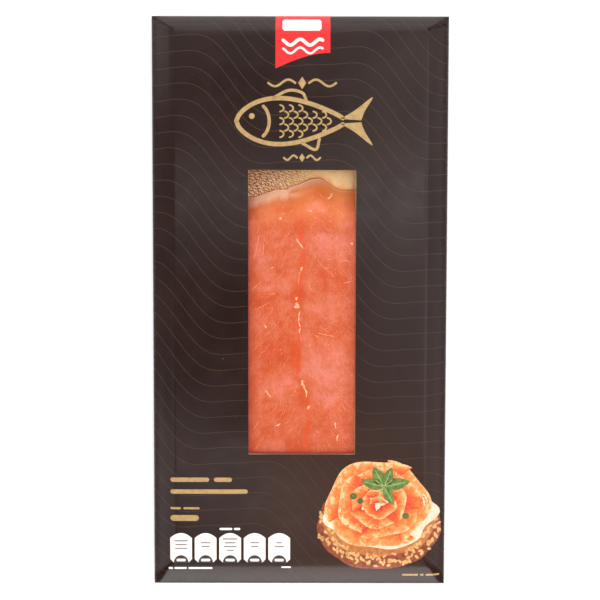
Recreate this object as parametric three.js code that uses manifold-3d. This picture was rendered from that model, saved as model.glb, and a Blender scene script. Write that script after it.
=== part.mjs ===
// Retail pack of sliced smoked salmon: a flat closed card sleeve with a window in its front, and in it a
// gold board, the sliced side of salmon that lies on the board, and the clear film that holds it there.
// Millimetres. The pack lies on its back: X runs across it, Y up its front, Z out of its front.
// The origin is the middle of the back.
import * as THREE from 'three';
import { mergeVertices } from 'three/addons/utils/BufferGeometryUtils.js';
import Module from 'manifold-3d';

const wasm = await Module();
wasm.setup();

// Card sleeve
const PACK_WIDTH = 155;
const PACK_LENGTH = 300;
const PACK_HEIGHT = 13.6; // back to the crown of the front
const SPINE_HEIGHT = 6.5; // the upright sides between the folds
const CARD = 0.5; // thickness of one layer of card
const FOLD_RADIUS = 0.8; // outside of each fold
const SIDE_SHOULDER = 13; // how far in from a fold the front is still rising
const TOP_SHOULDER = 9;
const BOTTOM_SHOULDER = 17;
const MITRE = 5; // the higher, the sharper the creases that run in from the corners
const OUTER_FLAP_EDGE = 30; // the back is two flaps glued over each other: the outer one ends here
const INNER_FLAP_EDGE = 12; // and the inner one, from the other side, ends here

// Window in the front
const WINDOW_WIDTH = 56;
const WINDOW_LENGTH = 148.7;
const WINDOW_X = 1.1;
const WINDOW_Y = -4.5;
const WINDOW_CORNER = 1.2;

// Board
const GAP = 0.3; // clearance kept between neighbouring pieces
const BOARD_WIDTH = 130;
const BOARD_LENGTH = 276;
const BOARD_THICKNESS = 1;
const BOARD_CORNER = 6;
const BOARD_BOTTOM = 2 * CARD + GAP;
const BOARD_TOP = BOARD_BOTTOM + BOARD_THICKNESS;

// Side of salmon
const SALMON_WIDTH = 118;
const SALMON_LOW = -131; // its lower end on the board
const SALMON_HIGH = 58; // its upper end, which shows in the window
const SALMON_THICKNESS = 9.3; // at the middle
const SALMON_CROWN = 0.08; // share of the thickness lost towards its long sides
const SALMON_EDGE = 1.3; // height of its rim
const SALMON_SQUARENESS = 6; // exponent of its outline, between an ellipse (2) and a rectangle
const SALMON_SHOULDER = 16; // exponent of its cross section: the higher, the flatter its top
const SALMON_BOTTOM = BOARD_TOP + GAP;
const END_TAPER = 16; // the upper end thins out over this length
const END_SHARE = 0.3; // to this share of the thickness
const END_SLOPE = 0.08; // the upper end runs up to the right
const END_LOBES = [ // and has two lobes that stand out of it, each wider to its left or right
  { x: 9, rise: 7.6, left: 15, right: 8 },
  { x: -13, rise: 2.2, left: 8, right: 6 },
];

// Slices
const SLICE_COUNT = 10;
const SLICE_ANGLE = THREE.MathUtils.degToRad(9); // of the knife to the board
const SLICE_STEP = 0.5; // how far each slice's edge stands up from the slice under it
const FIRST_CUT = 38;
const LAST_CUT = -100;
const CUT_SWING = 2.2; // how far a cut's edge wanders from a straight line
const SEAM_X = -0.5; // the muscle seam down the middle, where each cut dips
const SEAM_DIP = 2.5;
const SEAM_WIDTH = 5;

// Film
const FILM = 0.3;
const FILM_WIDTH = BOARD_WIDTH - 4;
const FILM_LENGTH = BOARD_LENGTH - 4;
const FILM_DRAPE = 2.5; // how far outside the salmon the film meets the board
const FILM_LIFT = SLICE_STEP / 2; // added to the gap where the film crosses the slices' edges

const HALF_WIDTH = PACK_WIDTH / 2;
const HALF_LENGTH = PACK_LENGTH / 2;
const SALMON_MIDDLE = (SALMON_LOW + SALMON_HIGH) / 2;
const SALMON_HALF_LENGTH = (SALMON_HIGH - SALMON_LOW) / 2;
const CUT_PITCH = (FIRST_CUT - LAST_CUT) / (SLICE_COUNT - 2);
const LOBE_LINES = [3, 9, 15, 21]; // grid lines added where the larger lobe bends
const OUTLINE_STEPS = 48; // along each half of the salmon's outline
const FAR = 400; // beyond every piece
const CARD_COLOR = 0x453a36;
const GOLD_COLOR = 0xcfa468;
const SALMON_COLOR = 0xee7c5b;
const FILM_COLOR = 0xffffff;

// A closed body between two sheets over one grid: low and high give each sheet's third coordinate,
// and place turns a grid point into a point in space.
function sheetBody(us, vs, low, high, place) {
  const points = [];
  const triangles = [];
  const index = (i, j, top) => 2 * (i * vs.length + j) + top;
  const quad = (a, b, c, d) => triangles.push(a, b, c, a, c, d);
  for (const u of us) {
    for (const v of vs) {
      points.push(...place(u, v, low(u, v)), ...place(u, v, high(u, v)));
    }
  }
  const lastI = us.length - 1;
  const lastJ = vs.length - 1;
  for (let i = 0; i < lastI; i += 1) {
    for (let j = 0; j < lastJ; j += 1) {
      quad(index(i, j, 1), index(i + 1, j, 1), index(i + 1, j + 1, 1), index(i, j + 1, 1));
      quad(index(i, j, 0), index(i, j + 1, 0), index(i + 1, j + 1, 0), index(i + 1, j, 0));
    }
    quad(index(i, 0, 0), index(i + 1, 0, 0), index(i + 1, 0, 1), index(i, 0, 1));
    quad(index(i + 1, lastJ, 0), index(i, lastJ, 0), index(i, lastJ, 1), index(i + 1, lastJ, 1));
  }
  for (let j = 0; j < lastJ; j += 1) {
    quad(index(0, j + 1, 0), index(0, j, 0), index(0, j, 1), index(0, j + 1, 1));
    quad(index(lastI, j, 0), index(lastI, j + 1, 0), index(lastI, j + 1, 1), index(lastI, j, 1));
  }
  const geometry = new THREE.BufferGeometry();
  geometry.setAttribute('position', new THREE.Float32BufferAttribute(points, 3));
  geometry.setIndex(triangles);
  return geometry;
}

const upright = (x, y, z) => [x, y, z];

function solid(geometry) {
  const bare = geometry.clone();
  bare.deleteAttribute('normal');
  bare.deleteAttribute('uv');
  const merged = mergeVertices(bare);
  const vertProperties = new Float32Array(merged.attributes.position.array);
  const triVerts = new Uint32Array(merged.index.array);
  return new wasm.Manifold(new wasm.Mesh({ numProp: 3, vertProperties, triVerts }));
}

function piece(name, body, material) {
  const mesh = body.getMesh();
  const geometry = new THREE.BufferGeometry();
  geometry.setAttribute('position', new THREE.Float32BufferAttribute(mesh.vertProperties, 3));
  geometry.setIndex(Array.from(mesh.triVerts));
  geometry.computeVertexNormals();
  const named = new THREE.Mesh(geometry, material);
  named.name = name;
  return named;
}

function box(lowX, highX, lowZ, highZ) {
  const shape = new THREE.BoxGeometry(highX - lowX, 2 * FAR, highZ - lowZ);
  return solid(shape.translate((lowX + highX) / 2, 0, (lowZ + highZ) / 2));
}

function roundedRectangle(width, length, corner) {
  const x = width / 2 - corner;
  const y = length / 2 - corner;
  const shape = new THREE.Shape();
  shape.absarc(x, y, corner, 0, Math.PI / 2);
  shape.absarc(-x, y, corner, Math.PI / 2, Math.PI);
  shape.absarc(-x, -y, corner, Math.PI, 1.5 * Math.PI);
  shape.absarc(x, -y, corner, 1.5 * Math.PI, 2 * Math.PI);
  return shape;
}

function prism(shape, bottom, height) {
  const extruded = new THREE.ExtrudeGeometry(shape, { depth: height, bevelEnabled: false, curveSegments: 5 });
  return solid(extruded.translate(0, 0, bottom));
}

// Front of the sleeve: it climbs from the folds to a flat crown, and its slopes meet in mitred creases.
function frontRise(x, y) {
  const reach = y > 0 ? TOP_SHOULDER : BOTTOM_SHOULDER;
  const across = Math.max(0, 1 - (HALF_WIDTH - Math.abs(x)) / SIDE_SHOULDER);
  const along = Math.max(0, 1 - (HALF_LENGTH - Math.abs(y)) / reach);
  const edge = Math.min(1, (across ** MITRE + along ** MITRE) ** (1 / MITRE));
  return (PACK_HEIGHT - SPINE_HEIGHT) * Math.cos(edge * Math.PI / 2);
}

// How far a rounded fold has fallen from the flat, at a distance inside the fold's outermost line.
function foldDrop(inside, radius) {
  const short = Math.max(0, radius - inside);
  return radius - Math.sqrt(radius * radius - short * short);
}

function sleeveLines(half, inset, lowShoulder, highShoulder) {
  const radius = FOLD_RADIUS - inset;
  const fold = [0, 0.13, 0.5, 1].map((part) => inset + part * radius);
  const slope = [0.25, 0.5, 0.75, 1];
  const low = [...fold, ...slope.map((part) => part * lowShoulder)];
  const high = [...fold, ...slope.map((part) => part * highShoulder)];
  return [...low.map((inside) => inside - half), ...high.map((inside) => half - inside).reverse()];
}

// The sleeve's outside (inset 0), or the space inside it (inset by the card).
function sleeveForm(inset) {
  const radius = FOLD_RADIUS - inset;
  const drop = (x, y) => {
    const inside = Math.min(HALF_WIDTH - Math.abs(x), HALF_LENGTH - Math.abs(y)) - inset;
    return foldDrop(inside, radius);
  };
  const back = (x, y) => inset + drop(x, y);
  const front = (x, y) => SPINE_HEIGHT - inset + frontRise(x, y) - drop(x, y);
  const xs = sleeveLines(HALF_WIDTH, inset, SIDE_SHOULDER, SIDE_SHOULDER);
  const ys = sleeveLines(HALF_LENGTH, inset, BOTTOM_SHOULDER, TOP_SHOULDER);
  return solid(sheetBody(xs, ys, back, front, upright));
}

function cardSleeve() {
  const beside = box(OUTER_FLAP_EDGE, FAR, -FAR, CARD);
  const innerFlap = box(INNER_FLAP_EDGE, FAR, -FAR, 2 * CARD);
  const windowShape = roundedRectangle(WINDOW_WIDTH, WINDOW_LENGTH, WINDOW_CORNER);
  const window = prism(windowShape, SPINE_HEIGHT, FAR).translate([WINDOW_X, WINDOW_Y, 0]);
  const inside = sleeveForm(CARD).subtract(innerFlap);
  return sleeveForm(0).subtract(beside).subtract(inside).subtract(window);
}

function goldBoard() {
  const shape = roundedRectangle(BOARD_WIDTH, BOARD_LENGTH, BOARD_CORNER);
  return prism(shape, BOARD_BOTTOM, BOARD_THICKNESS);
}

// The salmon is drawn straight, from SALMON_LOW to SALMON_HIGH, then each point moves up by endShift,
// which gives the upper end its slope and its lobes and fades out towards the lower end and the board's edge.
function endShift(x, straight) {
  const lobes = END_LOBES.map((lobe) => {
    const reach = x < lobe.x ? lobe.left : lobe.right;
    return lobe.rise * Math.exp(-(((x - lobe.x) / reach) ** 2));
  });
  const rise = lobes.reduce((sum, lobe) => sum + lobe, END_SLOPE * x);
  const below = (straight - SALMON_LOW) / (SALMON_HIGH - SALMON_LOW);
  const above = (FILM_LENGTH / 2 - straight) / (FILM_LENGTH / 2 - SALMON_HIGH);
  return rise * Math.max(0, Math.min(below, above, 1));
}

function onBoard(x, straight, z) {
  return [x, straight + endShift(x, straight), z];
}

// What share of its thickness the salmon has left near its upper end, which is moved out by margin.
function endThinning(straight, margin) {
  const inside = THREE.MathUtils.clamp((SALMON_HIGH + margin - straight) / END_TAPER, 0, 1);
  return END_SHARE + (1 - END_SHARE) * Math.sin((inside * Math.PI) / 2);
}

// Thickness of the salmon, widened by margin all round; 0 outside it.
function salmonHeight(x, straight, margin) {
  const across = Math.abs(x) / (SALMON_WIDTH / 2 + margin);
  const along = Math.abs(straight - SALMON_MIDDLE) / (SALMON_HALF_LENGTH + margin);
  const out = across ** SALMON_SQUARENESS + along ** SALMON_SQUARENESS;
  const full = Math.max(0, 1 - out ** (SALMON_SHOULDER / SALMON_SQUARENESS));
  const crown = 1 - SALMON_CROWN * across * across;
  return SALMON_THICKNESS * crown * Math.sqrt(full) * endThinning(straight, margin);
}

function spread(low, high, count) {
  return Array.from({ length: count + 1 }, (_, i) => low + ((high - low) * i) / count);
}

// Grid lines across and along the board, closer together at the salmon's rim. The salmon and the film
// over it share them, so that one surface follows the other.
function boardLines() {
  const rim = [FILM_DRAPE, 0.8, -1.5, -5, -11];
  const side = rim.map((out) => SALMON_WIDTH / 2 + out);
  const inner = SALMON_WIDTH / 2 + rim.at(-1);
  const middle = [...spread(-inner, inner, 16).slice(1, -1), ...LOBE_LINES].sort((a, b) => a - b);
  const xs = [-FILM_WIDTH / 2, ...side.map((x) => -x), ...middle];
  const low = [-FILM_LENGTH / 2, ...rim.map((out) => SALMON_LOW - out)];
  const high = [...rim.map((out) => SALMON_HIGH + out).reverse(), FILM_LENGTH / 2];
  const between = spread(low.at(-1), high[0], 11).slice(1, -1);
  return { xs: [...xs, ...side.reverse(), FILM_WIDTH / 2], ys: [...low, ...between, ...high] };
}

// Where the knife came out of the top of the salmon, for one cut.
function cutEdge(cut, x) {
  const straight = FIRST_CUT - (cut - 1) * CUT_PITCH;
  const long = Math.sin(x / 21 + 1.9 * cut);
  const short = 0.5 * Math.sin(x / 8 + 3.1 * cut);
  const dip = SEAM_DIP * Math.exp(-(((x - SEAM_X) / SEAM_WIDTH) ** 2));
  return straight + CUT_SWING * (long + short) - dip;
}

// The knife's face: from the cut's edge it runs down towards the lower end.
function cutFace(cut, x, z) {
  const depth = SALMON_BOTTOM + SALMON_THICKNESS - z;
  return cutEdge(cut, x) - depth / Math.tan(SLICE_ANGLE);
}

// The salmon as one slice sees it: highest along that slice's upper edge, which lies on the slice above.
function salmonBody(slice, lines) {
  const top = (x, straight) => {
    const down = slice === 0 ? 0.5 : (cutEdge(slice, x) - onBoard(x, straight, 0)[1]) / CUT_PITCH;
    const tilt = SLICE_STEP * THREE.MathUtils.clamp(0.5 - down, -0.5, 0.5);
    return SALMON_BOTTOM + SALMON_EDGE + Math.max(0, salmonHeight(x, straight, 0) - SALMON_EDGE) + tilt;
  };
  return solid(sheetBody(lines.xs, lines.ys, () => SALMON_BOTTOM, top, onBoard));
}

// Half of the salmon's outline, from one long side to the other: its upper end (1) or its lower one (-1).
function outlineHalf(end) {
  return spread(-Math.PI / 2, Math.PI / 2, OUTLINE_STEPS).slice(1).map((angle) => {
    const across = -end * Math.sin(angle);
    const x = (SALMON_WIDTH / 2) * across;
    const along = Math.max(0, 1 - Math.abs(across) ** SALMON_SQUARENESS) ** (1 / SALMON_SQUARENESS);
    const straight = SALMON_MIDDLE + end * SALMON_HALF_LENGTH * along;
    return new THREE.Vector2(x, straight + endShift(x, straight));
  });
}

function salmonOutline() {
  return prism(new THREE.Shape([...outlineHalf(1), ...outlineHalf(-1)]), 0, FAR);
}

// Everything between one slice's two cuts, less half a gap on each face.
function betweenCuts(slice) {
  const halfGap = GAP / 2 / Math.sin(SLICE_ANGLE);
  const low = slice === SLICE_COUNT - 1 ? () => -FAR : (z, x) => cutFace(slice + 1, x, z) + halfGap;
  const high = slice === 0 ? () => FAR : (z, x) => cutFace(slice, x, z) - halfGap;
  const zs = [SALMON_BOTTOM - 1, SALMON_BOTTOM + SALMON_THICKNESS + 1];
  const xs = spread(-SALMON_WIDTH / 2 - 1, SALMON_WIDTH / 2 + 1, 22);
  return solid(sheetBody(zs, xs, low, high, (z, x, y) => [x, y, z]));
}

function salmonSlice(slice, lines, outline) {
  return salmonBody(slice, lines).intersect(outline).intersect(betweenCuts(slice));
}

function filmOver(lines) {
  const under = (x, straight) => {
    const height = salmonHeight(x, straight, FILM_DRAPE);
    return SALMON_BOTTOM + height + Math.min(height, GAP + FILM_LIFT);
  };
  const over = (x, straight) => under(x, straight) + FILM;
  return solid(sheetBody(lines.xs, lines.ys, under, over, onBoard));
}

const card = new THREE.MeshStandardMaterial({ color: CARD_COLOR, roughness: 0.45, metalness: 0 });
const gold = new THREE.MeshStandardMaterial({ color: GOLD_COLOR, roughness: 0.35, metalness: 0.8 });
const film = new THREE.MeshStandardMaterial({
  color: FILM_COLOR, roughness: 0.1, metalness: 0, transparent: true, opacity: 0.25,
});

const pack = new THREE.Group();
const lines = boardLines();
const outline = salmonOutline();
pack.add(piece('card_sleeve', cardSleeve(), card));
pack.add(piece('gold_board', goldBoard(), gold));
for (let slice = 0; slice < SLICE_COUNT; slice += 1) {
  const flesh = new THREE.MeshStandardMaterial({ color: SALMON_COLOR, roughness: 0.4, metalness: 0 });
  pack.add(piece(`salmon_slice_${slice + 1}`, salmonSlice(slice, lines, outline), flesh));
}
pack.add(piece('clear_film', filmOver(lines), film));

export default pack;
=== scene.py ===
"""Looks of a retail pack of sliced smoked salmon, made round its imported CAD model.

Sizes are in millimetres until they go into Blender, which takes metres. The pack lies on its back: X runs
across it, Y up its front, Z out of its front.
"""

from math import ceil, pi, radians, tan

import bmesh
import bpy
import numpy as np
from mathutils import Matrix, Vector
from numpy import (
    arange, array, clip, concatenate, cos, exp, hypot, linspace, maximum, minimum, sin, sqrt, stack, where,
)


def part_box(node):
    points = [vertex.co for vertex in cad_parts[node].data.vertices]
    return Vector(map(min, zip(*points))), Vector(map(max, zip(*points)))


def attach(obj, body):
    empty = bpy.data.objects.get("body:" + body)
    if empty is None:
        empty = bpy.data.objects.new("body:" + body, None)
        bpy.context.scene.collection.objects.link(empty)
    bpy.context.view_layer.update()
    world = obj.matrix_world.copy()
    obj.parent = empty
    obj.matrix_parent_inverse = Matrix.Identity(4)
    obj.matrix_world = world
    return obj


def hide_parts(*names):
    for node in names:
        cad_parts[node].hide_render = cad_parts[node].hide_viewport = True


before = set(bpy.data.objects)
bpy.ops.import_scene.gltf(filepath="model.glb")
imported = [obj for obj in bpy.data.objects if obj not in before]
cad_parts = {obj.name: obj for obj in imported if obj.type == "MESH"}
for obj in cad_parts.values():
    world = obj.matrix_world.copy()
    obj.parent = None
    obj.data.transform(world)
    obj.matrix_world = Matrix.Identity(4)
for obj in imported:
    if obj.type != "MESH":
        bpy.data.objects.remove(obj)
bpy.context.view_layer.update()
rng = np.random.default_rng(7)

MM = 0.001


def node_box(node):
    low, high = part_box(node)
    return array(low) / MM, array(high) / MM


# Card sleeve: sizes that the CAD source has too
HALF_WIDTH, HALF_LENGTH, PACK_HEIGHT = node_box("card_sleeve")[1]
SPINE_HEIGHT = 6.5
CARD = 0.5
FOLD_RADIUS = 0.8
SIDE_SHOULDER = 13
TOP_SHOULDER = 9
BOTTOM_SHOULDER = 17
MITRE = 5
OUTER_FLAP_EDGE = 30
INNER_FLAP_EDGE = 12
WINDOW_WIDTH = 56
WINDOW_LENGTH = 148.7
WINDOW_X = 1.1
WINDOW_Y = -4.5
WINDOW_CORNER = 0.6
WINDOW_LEFT = WINDOW_X - WINDOW_WIDTH / 2
WINDOW_RIGHT = WINDOW_X + WINDOW_WIDTH / 2
WINDOW_BOTTOM = WINDOW_Y - WINDOW_LENGTH / 2
WINDOW_TOP = WINDOW_Y + WINDOW_LENGTH / 2

# Board, salmon and film
BOARD_LOW, BOARD_HIGH = node_box("gold_board")
BOARD_CORNER = 6
SALMON_WIDTH = 118
SALMON_LOW = -131
SALMON_HIGH = 58
SALMON_THICKNESS = 9.3
SALMON_CROWN = 0.08
SALMON_EDGE = 1.3
SALMON_SQUARENESS = 6
SALMON_SHOULDER = 16
SALMON_BOTTOM = 2.6
SALMON_MIDDLE = (SALMON_LOW + SALMON_HIGH) / 2
SALMON_HALF_LENGTH = (SALMON_HIGH - SALMON_LOW) / 2
END_TAPER = 16
END_SHARE = 0.3
END_SLOPE = 0.08
END_LOBES = [(9, 7.6, 15, 8), (-13, 2.2, 8, 6)]  # x, rise, reach to the left, reach to the right
NOTCH_X = -6
SLICE_COUNT = 10
SLICE_ANGLE = radians(9)
VISIBLE_STEP = 0.1
FIRST_CUT = 38
LAST_CUT = -100
CUT_PITCH = (FIRST_CUT - LAST_CUT) / (SLICE_COUNT - 2)
CUT_SWING = 2.2
SEAM_X = -0.5
SEAM_DIP = 2.5
SEAM_WIDTH = 5
SLICE_GAP = 0.015
FILM_LENGTH = 272
FILM_WIDTH = 126


# ---------------------------------------------------------------- meshes

def between(marks, step):
    """The marks in order, with each gap between two of them split evenly into steps no longer than step."""
    marks = sorted(set(marks))
    lines = [marks[0]]
    for low, high in zip(marks, marks[1:]):
        count = max(1, ceil((high - low) / step - 1e-6))
        lines += [low + (high - low) * k / count for k in range(1, count + 1)]
    return array(lines)


def graded(*marks_and_steps):
    """Grid lines from the first mark to the last: takes a mark, the step up to the next mark, and so on."""
    marks, steps = marks_and_steps[::2], marks_and_steps[1::2]
    parts = [between(pair, step)[:-1] for pair, step in zip(zip(marks, marks[1:]), steps)]
    return np.append(concatenate(parts), marks[-1])


def grid_faces(rows, columns):
    corner = arange(rows * columns).reshape(rows, columns)
    return stack([corner[:-1, :-1], corner[1:, :-1], corner[1:, 1:], corner[:-1, 1:]], -1).reshape(-1, 4)


def around(grid):
    """The outermost points of a grid, in order."""
    return concatenate([grid[:-1, 0], grid[-1, :-1], grid[:0:-1, -1], grid[0, :0:-1]])


def closed_body(top, bottom, rings=()):
    """Two grids of points, one above the other, as one closed body. Rows run along X, columns along Y, and
    rings are loops of points round its walls, from the top down."""
    rows, columns = top.shape[:2]
    count = rows * columns
    edge = around(arange(count).reshape(rows, columns))
    loops = [edge, *(2 * count + len(edge) * k + arange(len(edge)) for k in range(len(rings))), edge + count]
    upper = grid_faces(rows, columns)
    walls = [wall(high, low) for high, low in zip(loops, loops[1:])]
    points = concatenate([top.reshape(-1, 3), bottom.reshape(-1, 3), *rings])
    return points, concatenate([upper, upper[:, ::-1] + count, *walls]).tolist()


def wall(high, low):
    """Faces between two loops of the same number of points."""
    return stack([high, low, np.roll(low, -1), np.roll(high, -1)], -1)


def join(bodies):
    """Several bodies as one list of points and one of faces."""
    points, faces, start = [], [], 0
    for body_points, body_faces in bodies:
        points.append(body_points)
        faces += [[corner + start for corner in face] for face in body_faces]
        start += len(body_points)
    return concatenate(points), faces


def linked(name, data):
    """A new object in the scene."""
    thing = bpy.data.objects.new(name, data)
    bpy.context.scene.collection.objects.link(thing)
    return thing


def make_piece(name, body, looks, attributes=None, face_looks=None, sharp=40):
    points, faces = body
    mesh = bpy.data.meshes.new(name)
    mesh.from_pydata((np.asarray(points) * MM).tolist(), [], faces)
    for key, values in (attributes or {}).items():
        layer = mesh.attributes.new(key, "FLOAT", "POINT")
        layer.data.foreach_set("value", np.asarray(values, np.float32).ravel())
    for look in looks:
        mesh.materials.append(look)
    if face_looks is not None:
        mesh.polygons.foreach_set("material_index", face_looks)
    mesh.polygons.foreach_set("use_smooth", [True] * len(faces))
    mesh.set_sharp_from_angle(angle=radians(sharp))
    mesh.update()
    piece = linked(name, mesh)
    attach(piece, "root")
    return piece


def smooth(low, high, value):
    """0 below low, 1 above high, and a smooth rise between them."""
    part = clip((value - low) / (high - low), 0, 1)
    return part * part * (3 - 2 * part)


def hump(distance, width):
    return exp(-((distance / width) ** 2))


def at(x, y, z):
    """Points from three arrays that broadcast against each other."""
    return stack(np.broadcast_arrays(x, y, z), -1).astype(float)


def grid(xs, ys):
    return np.meshgrid(xs, ys, indexing="ij")


def both_sides(values):
    """Values on the points of a closed body's top, given to its underside too."""
    return concatenate([values.ravel()] * 2)


def top_only(values):
    return concatenate([values.ravel(), np.zeros(values.size)])


# ---------------------------------------------------------------- materials

def srgb(red, green, blue):
    """A colour given as screen values from 0 to 255, as the linear values that a shader takes."""
    parts = [value / 255 for value in (red, green, blue)]
    linear = [p / 12.92 if p <= 0.04045 else ((p + 0.055) / 1.055) ** 2.4 for p in parts]
    return (*linear, 1)


class Look:
    """A Principled material, with short ways to put nodes in front of its shader."""

    def __init__(self, name, **sockets):
        self.material = bpy.data.materials.new(name)
        self.material.use_nodes = True
        self.tree = self.material.node_tree
        self.shader = self.tree.nodes["Principled BSDF"]
        for socket, value in sockets.items():
            self.shader.inputs[socket.replace("_", " ")].default_value = value
        place = self.add("TexCoord", output="Object")
        self.place = self.add("VectorMath", {0: place, "Scale": 1 / MM}, operation="SCALE")

    def feed(self, socket, value):
        if isinstance(value, bpy.types.NodeSocket):
            self.tree.links.new(value, socket)
        else:
            socket.default_value = value

    def node(self, kind, inputs=None, **settings):
        node = self.tree.nodes.new("ShaderNode" + kind)
        for key, value in settings.items():
            setattr(node, key, value)
        for key, value in (inputs or {}).items():
            self.feed(node.inputs[key], value)
        return node

    def add(self, kind, inputs=None, output=0, **settings):
        return self.node(kind, inputs, **settings).outputs[output]

    def attribute(self, name):
        return self.add("Attribute", output="Fac", attribute_name=name)

    def math(self, operation, a, b=0.0):
        return self.add("Math", {0: a, 1: b}, operation=operation)

    def times(self, a, b):
        return self.math("MULTIPLY", a, b)

    def stretch(self, x, y, z):
        """The place, stretched: a small number makes what hangs on it long that way."""
        return self.add("VectorMath", {0: self.place, 1: (x, y, z)}, operation="MULTIPLY")

    def noise(self, size, detail, place=None, twist=0.0):
        """Noise whose features are about size millimetres."""
        inputs = {"Vector": place or self.place, "Scale": 1 / size, "Detail": detail}
        return self.add("TexNoise", {**inputs, "Roughness": 0.55, "Distortion": twist})

    def specks(self, size, share, radius):
        """1 in round specks: one in each cell of that size, in this share of the cells."""
        cell = self.node("TexVoronoi", {"Vector": self.place, "Scale": 1 / size}).outputs
        near = self.math("LESS_THAN", cell["Distance"], radius / size)
        hue = self.add("SeparateColor", {0: cell["Color"]})
        return self.times(near, self.math("LESS_THAN", hue, share))

    def stripes(self, value, count, width):
        """1 on thin lines, count of them for each step of 1 in value."""
        part = self.math("SUBTRACT", self.math("FRACT", self.times(value, count)), 0.5)
        return self.level(self.math("ABSOLUTE", part), 0.0, width, 1, 0)

    def level(self, value, low, high, to_low=0.0, to_high=1.0):
        """value from low..high taken smoothly to to_low..to_high."""
        inputs = {"Value": value, "From Min": low, "From Max": high, "To Min": to_low, "To Max": to_high}
        return self.add("MapRange", inputs, interpolation_type="SMOOTHSTEP")

    def mix(self, share, under, over):
        return self.add("Mix", {0: share, 6: under, 7: over}, output=2, data_type="RGBA")

    def ramp(self, value, stops):
        ramp = self.node("ValToRGB", {0: value})
        marks = ramp.color_ramp.elements
        while len(marks) < len(stops):
            marks.new(0.5)
        for mark, (position, *color) in zip(marks, stops):
            mark.position = position
            mark.color = srgb(*color)
        return ramp.outputs[0]

    def bump(self, height, depth, under=None):
        """Relief depth millimetres deep, on top of any relief already made."""
        inputs = {"Height": height, "Distance": depth * MM, "Strength": 1.0}
        if under is not None:
            inputs["Normal"] = under
        return self.add("Bump", inputs)

    def finish(self, color, rough=None, normal=None):
        for socket, value in {"Base Color": color, "Roughness": rough, "Normal": normal}.items():
            if value is not None:
                self.feed(self.shader.inputs[socket], value)
        return self.material


CARD_DARK = srgb(32, 17, 13)
CARD_LIGHT = srgb(39, 22, 18)
CARD_WORN = srgb(104, 88, 80)
CARD_GLOW = srgb(70, 42, 30)
CARD_CORE = srgb(214, 188, 144)
CARD_CORE_DEEP = srgb(184, 156, 112)
DUST = srgb(190, 180, 170)


def card_look():
    look = Look("printed_card", Specular_IOR_Level=0.235)
    grain = look.noise(0.45, 2)
    color = look.mix(look.level(look.noise(26, 4), 0.35, 0.65), CARD_DARK, CARD_LIGHT)
    color = look.mix(look.level(grain, 0.3, 0.7, 0, 0.25), color, CARD_LIGHT)
    color = look.mix(look.attribute("glow"), color, CARD_GLOW)
    scuff = look.times(look.attribute("wear"), look.level(look.noise(1.3, 4), 0.45, 0.7))
    color = look.mix(look.times(scuff, 0.55), color, CARD_WORN)
    color = look.mix(look.times(look.specks(7, 0.35, 0.16), 0.4), color, DUST)
    rough = look.level(look.noise(9, 3), 0.3, 0.7, 0.17, 0.23)
    return look.finish(color, rough, look.bump(grain, 0.006, look.bump(look.noise(1.6, 3), 0.02)))


def core_look():
    """Cut edges and inside of the card: pale fibres."""
    look = Look("card_core", Specular_IOR_Level=0.2)
    fibres = look.noise(0.3, 4, place=look.stretch(1, 1, 4))
    color = look.mix(look.level(fibres, 0.3, 0.7), CARD_CORE, CARD_CORE_DEEP)
    return look.finish(color, look.level(fibres, 0.3, 0.7, 0.75, 0.92), look.bump(fibres, 0.03))


def ink_look(name, main, other, rough=0.36, gloss=0.35):
    """Printed ink: an even colour with the faint cloudiness and pinholes of print on card."""
    look = Look(name, Specular_IOR_Level=gloss)
    cloud = look.level(look.noise(2.2, 4), 0.35, 0.7)
    color = look.mix(cloud, srgb(*main), srgb(*other))
    color = look.mix(look.times(look.specks(1.1, 0.25, 0.09), 0.5), color, CARD_LIGHT)
    sheen = look.level(cloud, 0, 1, rough - 0.05, rough + 0.06)
    return look.finish(color, sheen, look.bump(look.noise(0.5, 2), 0.006))


def shaded_ink_look(name, stops):
    """Printed ink that runs from one colour to another by the attribute shade, with soft streaks."""
    look = Look(name, Specular_IOR_Level=0.45)
    streaks = look.level(look.noise(3.0, 5, twist=0.8), 0.2, 0.8, -0.25, 0.25)
    shade = look.math("ADD", look.attribute("shade"), streaks)
    return look.finish(look.ramp(shade, stops), 0.42, look.bump(look.noise(0.5, 2), 0.006))


def gold_look():
    look = Look("gold_foil", Metallic=0.25)
    gold = look.mix(look.level(look.noise(5, 4), 0.35, 0.65), srgb(252, 196, 126), srgb(255, 208, 146))
    # painted shade in the embossing's hollows
    painted_hollow_shade = look.times(look.attribute("painted_hollow_shade"), look.level(look.noise(1.1, 3), 0.2, 0.55, 0.5, 1))
    color = look.mix(painted_hollow_shade, gold, srgb(142, 60, 44))
    # oil near the salmon, with a painted reflection of the flesh and painted light over the shade at its end
    oil_and_painted_glow = look.times(look.attribute("oil_and_painted_glow"), look.level(look.noise(2.5, 3), 0.3, 0.6, 0.4, 0.95))
    color = look.mix(oil_and_painted_glow, color, srgb(250, 150, 84))
    rough = look.level(look.noise(1.2, 3), 0.3, 0.7, 0.36, 0.5)
    return look.finish(color, rough, look.bump(look.noise(0.35, 3), 0.02))


# from orange to pink: place between them, and colour
FLESH_COLORS = [
    (0.0, 195, 67, 12), (0.25, 197, 77, 24), (0.5, 201, 90, 46), (0.78, 208, 103, 73), (1.0, 214, 114, 93),
]
FLESH_PAINTED_LIGHT = srgb(246, 152, 84)
FLESH_FAT = srgb(238, 146, 108)
FLESH_SEAM = srgb(216, 72, 14)
FLESH_RIM_FAT_AND_HIGHLIGHT = srgb(255, 197, 162)
# colour of the painted shade that the window's edges cast on the flesh
FLESH_PAINTED_SHADE = srgb(156, 24, 0)


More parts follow.
